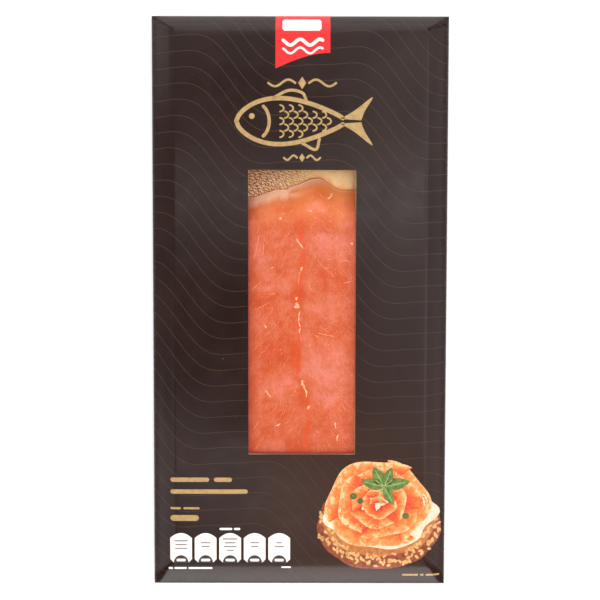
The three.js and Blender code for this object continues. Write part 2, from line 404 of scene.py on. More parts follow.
def salmon_look():
    """Smoked flesh: pinker and more orange fields, crossed by pale fat lines, with a raw orange seam."""
    look = Look("smoked_salmon", Subsurface_Weight=0.15, Subsurface_Scale=0.0006,
                Subsurface_Radius=(1.0, 0.35, 0.2), Specular_IOR_Level=0.1)
    patch = look.noise(3.2, 5, place=look.stretch(1, 0.6, 1), twist=1.4)
    tone = look.attribute("tone")
    for cloud, depth in ((look.noise(9, 4, twist=0.6), 0.2), (patch, 0.13), (look.noise(0.9, 3), 0.12)):
        tone = look.math("ADD", tone, look.level(cloud, 0.3, 0.7, -depth, depth))
    color = look.ramp(tone, FLESH_COLORS)
    # painted light towards the salmon's upper end
    color = look.mix(look.attribute("painted_light"), color, FLESH_PAINTED_LIGHT)

    # muscle grain: fine streaks that fan out from the seam, and wider pale lines every few millimetres
    wander = look.math("ADD", look.attribute("fan"), look.level(look.noise(7, 3), 0.2, 0.8, -2.6, 2.6))
    fine = look.times(look.stripes(wander, 0.6, 0.16), look.level(look.noise(5, 3), 0.43, 0.62))
    wide = look.times(look.stripes(wander, 0.13, 0.045), look.level(look.noise(7, 2), 0.45, 0.62))
    lines = look.math("MAXIMUM", look.times(fine, 0.5), look.times(wide, 0.7))
    away = look.math("ABSOLUTE", look.attribute("side"))
    lines = look.times(lines, look.level(away, 1.5, 5.0))
    color = look.mix(lines, color, FLESH_FAT)

    edge = look.level(look.noise(1.3, 4, twist=0.5), 0.3, 0.7, -0.35, 0.35)
    seam = look.level(look.math("ADD", look.attribute("seam"), edge), 0.34, 0.7)
    # the seam's raw orange, and a painted shadow under the folded lobe
    color = look.mix(look.times(seam, 0.8), color, FLESH_SEAM)
    # rim: pale fat along the upper end, with a painted highlight along its shaded edge
    color = look.mix(look.times(look.attribute("rim"), 0.9), color, FLESH_RIM_FAT_AND_HIGHLIGHT)
    # painted shade of the window's edges on the flesh
    color = look.mix(look.attribute("painted_shade"), color, FLESH_PAINTED_SHADE)
    rough = look.level(look.noise(2, 4), 0.3, 0.7, 0.38, 0.52)
    normal = look.bump(lines, 0.05, look.bump(patch, 0.1))
    return look.finish(color, rough, look.bump(look.noise(0.35, 3), 0.02, normal))


def fat_look():
    look = Look("white_fat", Subsurface_Weight=0.3, Subsurface_Scale=0.0008, Specular_IOR_Level=0.2)
    cloud = look.noise(0.8, 4)
    pale = look.mix(look.level(cloud, 0.3, 0.7), srgb(244, 184, 150), srgb(236, 150, 112))
    color = look.mix(look.attribute("thin"), pale, srgb(230, 128, 90))
    return look.finish(color, look.level(cloud, 0.3, 0.7, 0.35, 0.5), look.bump(cloud, 0.03))


def film_look():
    """Clear film: what it doesn't mirror goes straight through, with a faint haze in its creases."""
    look = Look("clear_film")
    look.tree.nodes.remove(look.shader)
    normal = look.bump(look.noise(2.4, 4, place=look.stretch(1, 0.5, 1)), 0.03)
    mirror = look.add("BsdfGlossy", {"Roughness": 0.32, "Normal": normal})
    through = look.add("BsdfTransparent")
    fresnel = look.add("Fresnel", {"IOR": 1.42, "Normal": normal})
    haze = look.level(look.noise(6, 5, twist=1.0), 0.52, 0.75, 0.0, 0.03)
    outward = look.math("SUBTRACT", 1, look.add("NewGeometry", output="Backfacing"))
    shine = look.times(look.attribute("shine"), outward)
    share = look.times(look.math("ADD", fresnel, haze), shine)
    surface = look.tree.nodes["Material Output"].inputs["Surface"]
    look.feed(surface, look.add("MixShader", {0: share, 1: through, 2: mirror}))
    return look.material


# ---------------------------------------------------------------- card sleeve

FLAP_SLANT = 0.25
FOLD_STEPS = linspace(0, pi / 2, 7)  # angles of the points round a fold


def front_rise(x, y):
    """How far the front stands above its folds: a flat crown with mitred slopes down to the folds."""
    reach = where(y > 0, TOP_SHOULDER, BOTTOM_SHOULDER)
    across = maximum(0, 1 - (HALF_WIDTH - abs(x)) / SIDE_SHOULDER)
    along = maximum(0, 1 - (HALF_LENGTH - abs(y)) / reach)
    edge = minimum(1, (across ** MITRE + along ** MITRE) ** (1 / MITRE))
    return (PACK_HEIGHT - SPINE_HEIGHT) * cos(edge * pi / 2)


def to_edge(x, y):
    """How far a point lies inside the sleeve's nearest side or end."""
    return minimum(HALF_WIDTH - abs(x), HALF_LENGTH - abs(y))


def fold_drop(x, y, inset):
    """How far the round folds take the card down at its edges: its outside (inset 0) or inside."""
    radius = FOLD_RADIUS - inset
    short = clip(FOLD_RADIUS - to_edge(x, y), 0, radius)
    return radius - sqrt(radius * radius - short * short)


def card_wave(x, y):
    """The card isn't quite flat: shallow waves, and a soft bulge beside the window's lower left corner."""
    waves = 0.09 * sin(x / 27 + 0.7) * sin(y / 41 + 1.1) + 0.05 * sin(x / 12 - y / 19)
    bulge = 0.22 * hump(hypot(x + 36, y + 68), 9)
    return (waves + bulge - 0.12) * smooth(1, 26, to_edge(x, y))


def front(x, y, inset=0.0):
    return SPINE_HEIGHT - inset + front_rise(x, y) + card_wave(x, y) - fold_drop(x, y, inset)


def back(x, y, inset=0.0):
    """Outside (inset 0) or inside of the back: two flaps, the outer one under the inner one."""
    bare = inset + fold_drop(x, y, inset)
    edge, layers = (INNER_FLAP_EDGE, 2) if inset else (OUTER_FLAP_EDGE, 1)
    return where(x > edge + FLAP_SLANT / 2, maximum(bare, layers * CARD), bare)


def sleeve_lines(half, inset, inner):
    """Grid lines across one direction: round both folds, and inner between them."""
    fold = inset + (FOLD_RADIUS - inset) * (1 - sin(FOLD_STEPS[::-1]))
    return concatenate([fold - half, inner, (half - fold)[::-1]])


def corner_lines(low, high):
    """Lines close together at both ends of the window."""
    part = WINDOW_CORNER * array([0, 0.25, 0.5, 0.75, 1])
    lip = [0.4, 1.2, 3]
    return [*(low + part), *(high - part), *(low - out for out in lip), *(high + out for out in lip)]


def round_corners(x, y):
    """Moves points of the window's edge, near its corners, onto round ones."""
    x, y = x.copy(), y.copy()
    for sign_x, corner_x in ((-1, WINDOW_LEFT), (1, WINDOW_RIGHT)):
        for sign_y, corner_y in ((-1, WINDOW_BOTTOM), (1, WINDOW_TOP)):
            off_x, off_y = abs(x - corner_x), abs(y - corner_y)
            near = (off_x < WINDOW_CORNER) & (off_y < WINDOW_CORNER) & (minimum(off_x, off_y) < 1e-6)
            angle = pi / 4 * (1 + (off_x - off_y)[near] / WINDOW_CORNER)
            x[near] = corner_x - sign_x * WINDOW_CORNER * (1 - cos(angle))
            y[near] = corner_y - sign_y * WINDOW_CORNER * (1 - sin(angle))
    return x, y


def cut_slant(x, y):
    """How far the window's cut edge slants into the window, where the die has crushed the card."""
    right = 0.18 * hump(y - 60, 12) + 0.14 * hump(y + 66, 14) + 0.03
    left = 0.08 * hump(y - 62, 12)
    low = 0.06 + 0.1 * hump(abs(x - WINDOW_X) - 26, 5)
    across = where(x > WINDOW_X, right, left) * (1 + 0.2 * sin(y * 0.9))
    along = where(y > WINDOW_Y, 0.05, low) * (1 + 0.2 * sin(x * 1.1))
    return across, along


def card_lines(half, low_shoulder, high_shoulder, marks):
    """Grid lines of the card across one direction, between its folds: close together on the shoulders."""
    low = between([FOLD_RADIUS, low_shoulder], 0.9)[1:-1] - half
    high = half - between([FOLD_RADIUS, high_shoulder], 0.9)[1:-1][::-1]
    return concatenate([low, between([low_shoulder - half, half - high_shoulder, *marks], 3.2), high])


def wall_rings(edge):
    """Loops round the sleeve's walls, with the line in the end walls where the flaps close."""
    rings = []
    for z, inward in ((5, 0), (1.6, 0), (1.5, 0.3), (1.3, 0.3), (1.2, 0)):
        ring = edge.copy()
        ring[:, 2] = z
        on_end = abs(ring[:, 1]) > HALF_LENGTH - 0.01
        ring[on_end, 1] -= np.sign(ring[on_end, 1]) * inward
        rings.append(ring)
    return rings


GLOW_X = 26  # middle of the warmer brown that is printed round the serving
GLOW_Y = -108
GLOW_REACH = 52
FLAP_LINES = [OUTER_FLAP_EDGE, OUTER_FLAP_EDGE + FLAP_SLANT, INNER_FLAP_EDGE, INNER_FLAP_EDGE + FLAP_SLANT]
CARD_X = card_lines(HALF_WIDTH, SIDE_SHOULDER, SIDE_SHOULDER,
                    FLAP_LINES + corner_lines(WINDOW_LEFT, WINDOW_RIGHT))
CARD_Y = card_lines(HALF_LENGTH, BOTTOM_SHOULDER, TOP_SHOULDER, corner_lines(WINDOW_BOTTOM, WINDOW_TOP))


def in_window(x, y, margin):
    across = (x > WINDOW_LEFT - margin) & (x < WINDOW_RIGHT + margin)
    return across & (y > WINDOW_BOTTOM - margin) & (y < WINDOW_TOP + margin)


def sleeve_skin(inset):
    """The sleeve's outside (inset 0) or inside, open at the window: points, faces, wear and window rim."""
    x, y = grid(sleeve_lines(HALF_WIDTH, inset, CARD_X), sleeve_lines(HALF_LENGTH, inset, CARD_Y))
    hole = in_window(x, y, 1e-6)
    border = hole & ~in_window(x, y, -1e-6)
    window_faces = hole[:-1, :-1] & hole[1:, :-1] & hole[1:, 1:] & hole[:-1, 1:]
    front_x, front_y = x.copy(), y.copy()
    front_x[border], front_y[border] = round_corners(x[border], y[border])
    if inset:
        slants = cut_slant(x[border], y[border])
        for place, slant, middle, half in ((front_x, slants[0], WINDOW_X, WINDOW_WIDTH / 2),
                                           (front_y, slants[1], WINDOW_Y, WINDOW_LENGTH / 2)):
            on_edge = half - abs(middle - place[border]) < 1
            place[border] += slant * np.sign(middle - place[border]) * on_edge
    upper = at(front_x, front_y, front(x, y, inset))
    rings = [] if inset else wall_rings(around(upper))
    points, faces = closed_body(upper, at(x, y, back(x, y, inset)), rings)
    faces = np.delete(faces, np.flatnonzero(window_faces), axis=0)
    wear = hump(maximum(to_edge(*points.T[:2]) - 0.25, 0), 0.7)
    wear[:x.size][border.ravel()] = 0.2
    wear[2 * x.size:] = 0.05
    index = arange(x.size).reshape(x.shape)
    rim = around(index[np.ix_(hole.any(1), hole.any(0))])
    return points, faces[:, ::-1] if inset else faces, wear, rim


def make_sleeve(print_look, inside_look):
    (outer, outer_faces, outer_wear, outer_rim), (inner, inner_faces, inner_wear, inner_rim) = (
        sleeve_skin(inset) for inset in (0.0, CARD))
    inner_rim = inner_rim + len(outer)
    cut = stack([outer_rim, np.roll(outer_rim, -1), np.roll(inner_rim, -1), inner_rim], -1)
    print_faces = len(outer_faces)
    # unused points inside the window go
    used, faces = np.unique(concatenate([outer_faces, inner_faces + len(outer), cut]), return_inverse=True)
    faces = faces.reshape(-1, 4)
    points = concatenate([outer, inner])[used]
    corners = points[faces]
    flap_edge = (abs(corners[..., 0] - OUTER_FLAP_EDGE - FLAP_SLANT / 2) < FLAP_SLANT).all(1)
    bare = (arange(len(faces)) >= print_faces) | (flap_edge & (corners[..., 2] < 1).all(1))
    glow = 0.6 * hump(hypot(points[:, 0] - GLOW_X, points[:, 1] - GLOW_Y), GLOW_REACH) * (points[:, 2] > 1)
    wear = concatenate([outer_wear, inner_wear])[used]
    piece = make_piece("sleeve", (points, faces.tolist()), [print_look, inside_look],
                       {"wear": wear, "glow": glow}, bare.astype(int), sharp=50)
    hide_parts("card_sleeve")


# ---------------------------------------------------------------- print on the card

FOLD_ARC = FOLD_RADIUS * pi / 2
SPINE_FLAT = SPINE_HEIGHT - 2 * FOLD_RADIUS
FLAT = HALF_WIDTH - FOLD_RADIUS
INK_SINK = 0.06
PRINT_LIFT = 0.05
OVERPRINT_LIFT = 0.07


def wrapped(s, t):
    """The card's surface at s across it, measured round its folds and spines, and t up it."""
    out = abs(s) - FLAT
    first = clip(out / FOLD_RADIUS, 0, pi / 2)
    down = clip(out - FOLD_ARC, 0, SPINE_FLAT)
    second = clip((out - FOLD_ARC - SPINE_FLAT) / FOLD_RADIUS, 0, pi / 2)
    under = maximum(0, out - 2 * FOLD_ARC - SPINE_FLAT)
    turn = FOLD_RADIUS * (sin(first) - (1 - cos(second)))
    x = np.sign(s) * (minimum(abs(s), FLAT) + turn - under)
    side = FOLD_RADIUS + SPINE_FLAT - down - FOLD_RADIUS * sin(second)
    z = where(out <= FOLD_ARC, front(x, t), side)
    recessed = (out > FOLD_ARC) & (x > OUTER_FLAP_EDGE)
    return at(x, t, where(recessed, maximum(z, CARD), z))


def on_card(s, t, lift):
    """A point lift above the card's surface."""
    nudge = 0.01
    across = wrapped(s + nudge, t) - wrapped(s - nudge, t)
    along = wrapped(s, t + nudge) - wrapped(s, t - nudge)
    normal = np.cross(across, along)
    normal /= np.linalg.norm(normal, axis=-1, keepdims=True)
    return wrapped(s, t) + normal * lift


def divided(path, step):
    """A path with points added, so that none of its steps is longer than step."""
    parts = [path[:1]]
    for here, there in zip(path, path[1:]):
        count = max(1, ceil(np.linalg.norm(there - here) / step))
        parts.append(here + (there - here) * linspace(0, 1, count + 1)[1:, None])
    return concatenate(parts)


def unit(vectors):
    return vectors / maximum(np.linalg.norm(vectors, axis=-1, keepdims=True), 1e-9)


def left_of(steps):
    """Directions square to the steps of a path."""
    return stack([-steps[:, 1], steps[:, 0]], -1)


def ribbon(path, width, lift=PRINT_LIFT, round_ends=True, sink=INK_SINK):
    """A line of ink along a path of (s, t) points."""
    path = divided(np.asarray(path, float), 1.0)
    half = np.full(len(path) + 6 * round_ends, width / 2)
    if round_ends:
        back, part = width * array([[0.5], [0.43], [0.25]]), array([0.12, 0.5, 0.87])
        start, end = unit(path[1] - path[0]), unit(path[-2] - path[-1])
        path = concatenate([path[0] - back * start, path, (path[-1] - back * end)[::-1]])
        half[:3] *= part
        half[-3:] *= part[::-1]
    steps = unit(np.diff(path, axis=0))
    ahead, behind = np.vstack([steps, steps[-1:]]), np.vstack([steps[:1], steps])
    side = unit(left_of(ahead + behind))
    turn = maximum(0.5, np.sum(side * left_of(ahead), 1))
    offset = side * (half / turn)[:, None]
    s, t = stack([path - offset, path + offset], 1).transpose(2, 0, 1)
    return closed_body(on_card(s, t, lift), on_card(s, t, -sink))


FOLD_LINES = FOLD_RADIUS * (1 - sin(FOLD_STEPS[1:]))
# the grid lines of the card, as (axis, place), which a shape of ink bends at
CARD_LINES = [(axis, line) for axis, lines, half in ((0, CARD_X, HALF_WIDTH), (1, CARD_Y, HALF_LENGTH))
              for line in (*lines, *(half - FOLD_LINES), *(FOLD_LINES - half))]


def shape(outline, lift=PRINT_LIFT):
    """A flat shape of ink inside an outline of (x, y) points, laid over the front of the card."""
    flat = bmesh.new()
    flat.faces.new([flat.verts.new((x, y, 0)) for x, y in outline])
    bmesh.ops.triangulate(flat, faces=flat.faces[:])
    spots = array([vert.co for vert in flat.verts])
    low, high = spots.min(0), spots.max(0)
    for axis, line in CARD_LINES:
        if low[axis] < line < high[axis]:
            facing = np.eye(3)[axis]
            everything = flat.verts[:] + flat.edges[:] + flat.faces[:]
            bmesh.ops.bisect_plane(flat, geom=everything, plane_co=facing * line, plane_no=facing)
    bmesh.ops.triangulate(flat, faces=flat.faces[:])
    flat.normal_update()
    flat.faces.ensure_lookup_table()
    if flat.faces[0].normal.z < 0:
        bmesh.ops.reverse_faces(flat, faces=flat.faces[:])
    flat.verts.index_update()
    spots = array([vert.co[:2] for vert in flat.verts]).T
    faces = [[vert.index for vert in face.verts] for face in flat.faces]
    rim = [edge.link_loops[0] for edge in flat.edges if edge.is_boundary]
    rim = [(loop.vert.index, loop.link_loop_next.vert.index) for loop in rim]
    flat.free()
    count = spots.shape[1]
    walls = [[here, here + count, there + count, there] for here, there in rim]
    under = [[corner + count for corner in face[::-1]] for face in faces]
    return concatenate([on_card(*spots, lift), on_card(*spots, -INK_SINK)]), faces + under + walls


def print_piece(name, bodies, look, attributes=None):
    """One piece of print on the card, from bodies of ink in one look."""
    make_piece(name, join(bodies), [look], attributes)


def bar(x, y, width, height, lift=PRINT_LIFT):
    """A short line of small print, as a plain bar whose lower left corner is at x, y."""
    return ribbon([(x + height / 2, y + height / 2), (x + width - height / 2, y + height / 2)], height, lift)


def wavy(x, y, height, turns):
    """A path along the array x, as high as y, that turns up and down as the array turns says."""
    return stack([x, y + height * sin(turns * 2 * pi)], -1)


def arc(x, y, radius_x, radius_y, start, end, count=16):
    """Points on part of an ellipse, from one angle in degrees to another."""
    angle = np.radians(linspace(start, end, count))
    return stack([x + radius_x * cos(angle), y + radius_y * sin(angle)], -1)


def curve(points, count):
    """A smooth line through a few points."""
    points = np.asarray(points, float)
    padded = np.vstack([2 * points[0] - points[1], points, 2 * points[-1] - points[-2]])
    place = linspace(0, len(points) - 1, count)
    span = minimum(place.astype(int), len(points) - 2)
    u = (place - span)[:, None]
    a, b, c, d = (padded[span + k] for k in range(4))
    return 0.5 * (2 * b + (c - a) * u + (2 * a - 5 * b + 4 * c - d) * u ** 2
                  + (3 * b - a - 3 * c + d) * u ** 3)


WAVE_PITCH = 8.3
WAVE_PERIOD = 79
WAVE_FALL = 31
WAVE_WIDTH = 0.4
WAVE_LIFT = 0.025
WAVE_SINK = 0.03
FIRST_WAVE = -260
LAST_WAVE = 420
WAVE_PHASE = 72.5
WAVE_LEAN = 0.22  # how far each line's steps lie left of those of the line above it, per millimetre


def wave_height(s, base):
    """A line that falls in smooth steps from left to right."""
    turn = (s + WAVE_PHASE + WAVE_LEAN * (140 - base)) / WAVE_PERIOD
    sway = 1.745 * sin(2 * pi * turn) - 0.3725 * sin(4 * pi * turn)
    return base - WAVE_FALL * (turn - sway / (2 * pi))


def make_waves(look):
    """Fine wavy lines all round the sleeve, left out at the window, the flap's edge and the ends."""
    round_back = 2 * FLAT + 2 * FOLD_ARC + SPINE_FLAT
    s = arange(-round_back - OUTER_FLAP_EDGE + 0.5, round_back - OUTER_FLAP_EDGE - 0.5, 0.3)
    bodies = []
    for base in arange(FIRST_WAVE, LAST_WAVE, WAVE_PITCH):
        t = wave_height(s, base)
        shown = (abs(t) < HALF_LENGTH - 0.5) & ~(in_window(s, t, 0.5) & (abs(s) < HALF_WIDTH))
        for run in np.split(arange(len(s)), np.flatnonzero(np.diff(shown)) + 1):
            if shown[run[0]] and len(run) > 4:
                on_fold = abs(abs(s[run]) - HALF_WIDTH - 2.5) < 5
                place = arange(len(run))
                kept = run[(place % 4 == 0) | on_fold | (place == len(run) - 1)]
                path = stack([s[kept], t[kept]], -1)
                bodies.append(ribbon(path, WAVE_WIDTH, WAVE_LIFT, round_ends=False, sink=WAVE_SINK))
    print_piece("wave_lines", bodies, look)


# ---------------------------------------------------------------- board

EMBOSS_ROW = 1.25
EMBOSS_DASH = 3.1
DASH_STARTS = rng.random(97)  # where along each row its dashes start


def embossing(x, y):
    """Oblique dashes pressed into the foil: 0 in the hollows between them, 1 on top."""
    bent = 0.72 * (np.logaddexp(0, (x + 19) / 2.2) * 2.2)
    v = (y + bent) * 0.82 + 0.28 * sin(x * 1.5 + 1.3 * sin(y * 0.9)) + 0.2 * sin(x * 3.1 - y * 1.7)
    u = x + 0.35 * sin(y * 2.1 + x * 0.4)
    row = np.floor(v / EMBOSS_ROW)
    across = v / EMBOSS_ROW - row - 0.5
    start = DASH_STARTS[row.astype(int) % len(DASH_STARTS)]
    along = (u / EMBOSS_DASH + start + 0.15 * sin(x * 0.8 + row)) % 1 - 0.5
    width = 0.34 + 0.1 * sin(x * 1.9 + row * 2.3)
    return clip(1.35 - (abs(across) / width) ** 2.4 * 0.9 - (abs(along) / 0.47) ** 6, 0, 1)


def make_board(look):
    half_width, half_length = BOARD_HIGH[:2]
    straight = half_length - BOARD_CORNER
    ends = half_length - BOARD_CORNER * (1 - cos(FOLD_STEPS))
    inner = graded(-straight, 5, SALMON_HIGH - 10, 0.25, WINDOW_TOP + 4, 5, straight)
    x, y = grid(graded(-half_width, 4, WINDOW_LEFT - 3, 0.25, WINDOW_RIGHT + 3, 4, half_width),
                np.unique(concatenate([-ends, inner[1:-1], ends])))
    # half the board's width at y, which is less at its round corners
    past = clip(abs(y) - straight, 0, BOARD_CORNER)
    side = half_width - BOARD_CORNER + sqrt(maximum(BOARD_CORNER ** 2 - past * past, 0))
    x = x * (side / half_width)
    raised = embossing(x, y)
    strength = smooth(19, 2, x + 0.7 * (y - 62))
    edge = minimum(side - abs(x), half_length - abs(y))
    sag = 0.1 * sin(x / 17) * sin(y / 23) - 0.12
    top = BOARD_HIGH[2] + sag - (0.05 + 0.2 * strength) * (1 - raised) - 0.25 * smooth(1.2, 0, edge)
    # painted shade and reflection: the embossing's hollows darkened, much more towards the left, where the
    # card's edge shades the board
    painted_hollow_shade = (1 - raised) * (0.08 + 0.9 * strength * smooth(30, -22, x)) + 0.22 * strength * smooth(6, -24, x)
    beyond = salmon_end(x) - y
    # oil from the flesh on the foil towards the right, partly a painted reflection of the orange flesh
    oil_and_painted_glow = smooth(-3.5, 0.5, beyond + 1.2 * sin(x * 0.9)) * smooth(9, 14, x)
    # painted light: a light orange band along the salmon's end, over the shade at its foot
    oil_and_painted_glow = maximum(oil_and_painted_glow, (0.3 + 0.6 * smooth(-7, 3, x)) * smooth(-1.5, -0.3, beyond))
    piece = make_piece("board", closed_body(at(x, y, top), at(x, y, BOARD_LOW[2])), [look],
                       {"painted_hollow_shade": top_only(painted_hollow_shade), "oil_and_painted_glow": top_only(oil_and_painted_glow)})
    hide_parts("gold_board")


# ---------------------------------------------------------------- salmon

# x and y of the seam, from beyond the salmon's upper end down to its lower one
SEAM_ROUTE = [
    (-0.8, 70), (-0.2, 43), (0.3, 36.5), (1.8, 30.7), (1.8, 18.4), (1.1, 14.3), (-1.5, 6.2), (-1.9, 0),
    (-0.7, -8.2), (0.3, -18.4), (-1.4, -22.5), (-2.2, -28.6), (-0.7, -37), (1.9, -43.1), (3.9, -52.2),
    (4.6, -60), (2, -80), (-1, -105), (0, -135),
]

# soft fields of the flesh: x, y, half width, half height, and how pink (1) or orange (-1) they are
TONE_FIELDS = [
    (-19, 27.5, 9, 11, 0.6), (14.5, 31, 12, 7.5, 0.9), (9.4, 51, 8, 3.5, 0.7), (-11, 9.7, 11, 5, 0.6),
    (14.6, -2, 12, 6.5, 0.8), (-22, -12.8, 5, 4.5, 0.7), (13.7, -34.8, 14, 16, 1.1), (-9.3, -43, 9, 7, 0.6),
    (20, -52, 7, 5, 0.5), (0, 40.8, 5, 4.5, -1.1), (12.4, 42.8, 7, 5.5, -0.8), (-8.4, 48.3, 6, 4.5, -0.7),
    (2.3, 27.6, 3.5, 7, -0.8), (-0.7, 5.1, 4, 7, -1.2), (-9.4, 18.4, 3.5, 4, -0.8),
    (16.6, 14.3, 11, 6.5, -0.3), (-19, 1, 9, 5.5, -0.8), (16.2, -13.8, 11, 4.5, -0.8),
    (-11.9, -23.6, 10, 11, -0.9), (-1.6, -26.6, 3.5, 8, -0.9), (2.5, -46.2, 3.5, 8, -1.0),
    (-10.8, -59.6, 10, 8, -0.3), (11.8, -61.6, 13, 6.5, -0.1), (-3.6, -72, 7, 5, -0.6),
    (12, 59, 6, 5, -0.9), (22, 55, 6, 4, -0.3),
]


def flesh_tone(x, y):
    """0 where the flesh is deep orange, 1 where it's pink."""
    tone = 0.5 + 0 * (x + y)
    for field_x, field_y, half_width, half_height, amount in TONE_FIELDS:
        out = hypot((x - field_x) / half_width, (y - field_y) / half_height)
        tone = tone + 0.38 * amount * exp(-(out ** 3))
    return tone


def seam_at(y):
    """Where across the salmon its seam runs."""
    route = array(SEAM_ROUTE[::-1])
    plain = np.interp(y, route[:, 1], route[:, 0])
    return plain + 0.35 * sin(y * 0.9) + 0.2 * sin(y * 2.3 + 1)


def end_shift(x, straight):
    """How far up the salmon's upper end is moved, to give it its lobes and its notch."""
    rise = END_SLOPE * x + sum(height * hump(x - lobe_x, where(x < lobe_x, left, right))
                               for lobe_x, height, left, right in END_LOBES)
    notch = (smooth(NOTCH_X - 0.4, NOTCH_X + 0.4, x) - 0.4) * hump(x - NOTCH_X, 3.5)
    below = (straight - SALMON_LOW) / (SALMON_HIGH - SALMON_LOW)
    above = (FILM_LENGTH / 2 - straight) / (FILM_LENGTH / 2 - SALMON_HIGH)
    near_end = smooth(SALMON_HIGH - 5, SALMON_HIGH - 1, straight)
    return (rise + notch * near_end) * maximum(0, minimum(minimum(below, above), 1))


def straightened(x, y):
    """Undoes end_shift: where a point was before the salmon's upper end was shaped."""
    straight = y
    for _ in range(8):
        straight = y - end_shift(x, straight)
    return straight


def outline_reach(x):
    """Half the length of the salmon's outline at x, before its end is shaped."""
    across = clip(abs(x) / (SALMON_WIDTH / 2), 0, 1)
    return SALMON_HALF_LENGTH * (1 - across ** SALMON_SQUARENESS) ** (1 / SALMON_SQUARENESS)


def salmon_end(x, sign=1):
    """Where along the pack the salmon ends at x: its upper end, or with sign -1 its lower one."""
    straight = SALMON_MIDDLE + sign * outline_reach(x)
    return straight + end_shift(x, straight)


def end_thinning(straight, margin):
    """The share of its thickness that the salmon has near its upper end."""
    inside = clip((SALMON_HIGH + margin - straight) / END_TAPER, 0, 1)
    return END_SHARE + (1 - END_SHARE) * sin(inside * pi / 2)


def salmon_height(x, y, margin=0.0):
    """How thick the salmon is, its outline widened by margin."""
    straight = straightened(x, y)
    across = abs(x) / (SALMON_WIDTH / 2 + margin)
    along = abs(straight - SALMON_MIDDLE) / (SALMON_HALF_LENGTH + margin)
    out = across ** SALMON_SQUARENESS + along ** SALMON_SQUARENESS
    full = maximum(0, 1 - out ** (SALMON_SHOULDER / SALMON_SQUARENESS))
    crown = 1 - SALMON_CROWN * across * across
    return SALMON_THICKNESS * crown * sqrt(full) * end_thinning(straight, margin)


def cut_edge(cut, x):
    """Where slice number cut begins, at the top of the salmon."""
    straight = FIRST_CUT - (cut - 1) * CUT_PITCH
    wander = sin(x / 21 + 1.9 * cut) + 0.5 * sin(x / 8 + 3.1 * cut)
    ragged = 0.35 * sin(x / 2.7 + 5.3 * cut) + 0.2 * sin(x / 1.1 + 2.2 * cut)
    return straight + CUT_SWING * wander - SEAM_DIP * hump(x - SEAM_X, SEAM_WIDTH) + ragged


def cut_plane(cut, x, y):
    """Height of the slanting cut that slice number cut begins at."""
    return SALMON_BOTTOM + SALMON_THICKNESS - (cut_edge(cut, x) - y) * tan(SLICE_ANGLE)


def grain_place(y, side):
    """A value that stays the same along each line of muscle grain, which fans out from the seam."""
    bend = abs(side)
    return y + where(side < 0, 0.95, 0.55) * bend + 0.012 * bend ** 2 - 6 * exp(-bend / 7)


def seam_strength(x, y):
    """Where raw orange flesh shows along the seam, and a painted shadow in the pocket under the folded lobe.
    """
    width = 1.35 - 0.4 * smooth(-30, -48, y) + 0.5 * sin(y * 0.55 + 1) + 0.3 * sin(y * 1.7)
    fade = smooth(47, 43, y) * (0.82 + 0.18 * sin(y * 0.37 + 0.4))
    painted_fold_shadow = 0.9 * hump(hypot((x + 4) / 1.9, (y - 59) / 0.8), 1)
    return maximum(exp(-abs((x - seam_at(y)) / width) ** 2.5) * fade, painted_fold_shadow)


# lower edge of the lobe of flesh that folds over the salmon's upper end
LOBE_FOLD = [(-6.2, 61.0), (-5.4, 59.9), (-3.8, 59.1), (-1, 58.7), (3, 58.9), (8, 60.2)]


def lobe_step(x, y):
    """1 on the folded lobe, 0 off it."""
    fold = array(LOBE_FOLD)
    lower = np.interp(x, fold[:, 0], fold[:, 1])
    return smooth(-0.3, 0.3, y - lower) * smooth(NOTCH_X - 0.3, NOTCH_X + 0.3, x) * smooth(9, 2, x)


def flesh_relief(x, y, seed):
    """Soft unevenness of the flesh, the groove of its seam and the step of its folded lobe."""
    soft = 0.08 * sin(x / 6.1 + seed) * sin(y / 7.3 + 2 * seed) + 0.04 * sin(x / 2.3 + y / 3.1 + seed)
    side = x - seam_at(y)
    fibres = 0.02 * sin((y + 0.75 * abs(side)) * 2.9 + sin(x / 3))
    groove = 0.22 * hump(side, 0.8) * smooth(-0.4, 0.5, sin(y / 3.7) + sin(y / 9 + 1)) * smooth(47, 43, y)
    return soft + fibres - groove + 0.3 * lobe_step(x, y)


def slice_tilt(down):
    """How far a slice's top stands over the salmon's own height: down goes from 0 at its upper edge to 1."""
    return VISIBLE_STEP * clip(0.5 - down, -0.5, 0.5)


def slice_top(number, x, y):
    height = maximum(0, salmon_height(x, y) - SALMON_EDGE)
    tilt = slice_tilt((cut_edge(number, x) - y) / CUT_PITCH) if number else 0
    relief = flesh_relief(x, y, 1.7 * number) * smooth(0, 3, height)
    return SALMON_BOTTOM + SALMON_EDGE + height + tilt + relief


def slice_under(number, x, y):
    """Lower face of a slice: it lies on the slice above it, and on the board beyond that."""
    if number == 0:
        return np.full(np.broadcast(x, y).shape, SALMON_BOTTOM)
    rest = minimum(slice_top(number - 1, x, y), cut_plane(number, x, y))
    return maximum(SALMON_BOTTOM, rest + SLICE_GAP)


def pale_rim_and_painted_light(x, y, inside):
    """The pale fat along the salmon's upper end, partly painted light: along the very edge a painted
    highlight lightens the end where it lies in shade. inside is the distance from that end.
    """
    depth = 4.4 - 2.6 * smooth(NOTCH_X - 3, NOTCH_X + 3, x) + 0.4 * sin(x * 0.7) + 0.2 * sin(x * 1.9 + 1)
    below_lobe = 0.5 * hump(hypot((x + 4) / 4.5, (y - 57.2) / 1.4), 1)
    band = smooth(depth + 3.0, depth - 2.2, inside) * smooth(14, 8, x)
    # painted highlight along the end's edge, which lies in the shade of the card and of its own slope
    painted_edge_highlight = smooth(2.8 + 2.2 * hump(x - 6, 7), 0.2, inside) * (0.95 - 0.6 * smooth(9, 15, x))
    return maximum(maximum(band, painted_edge_highlight), below_lobe)


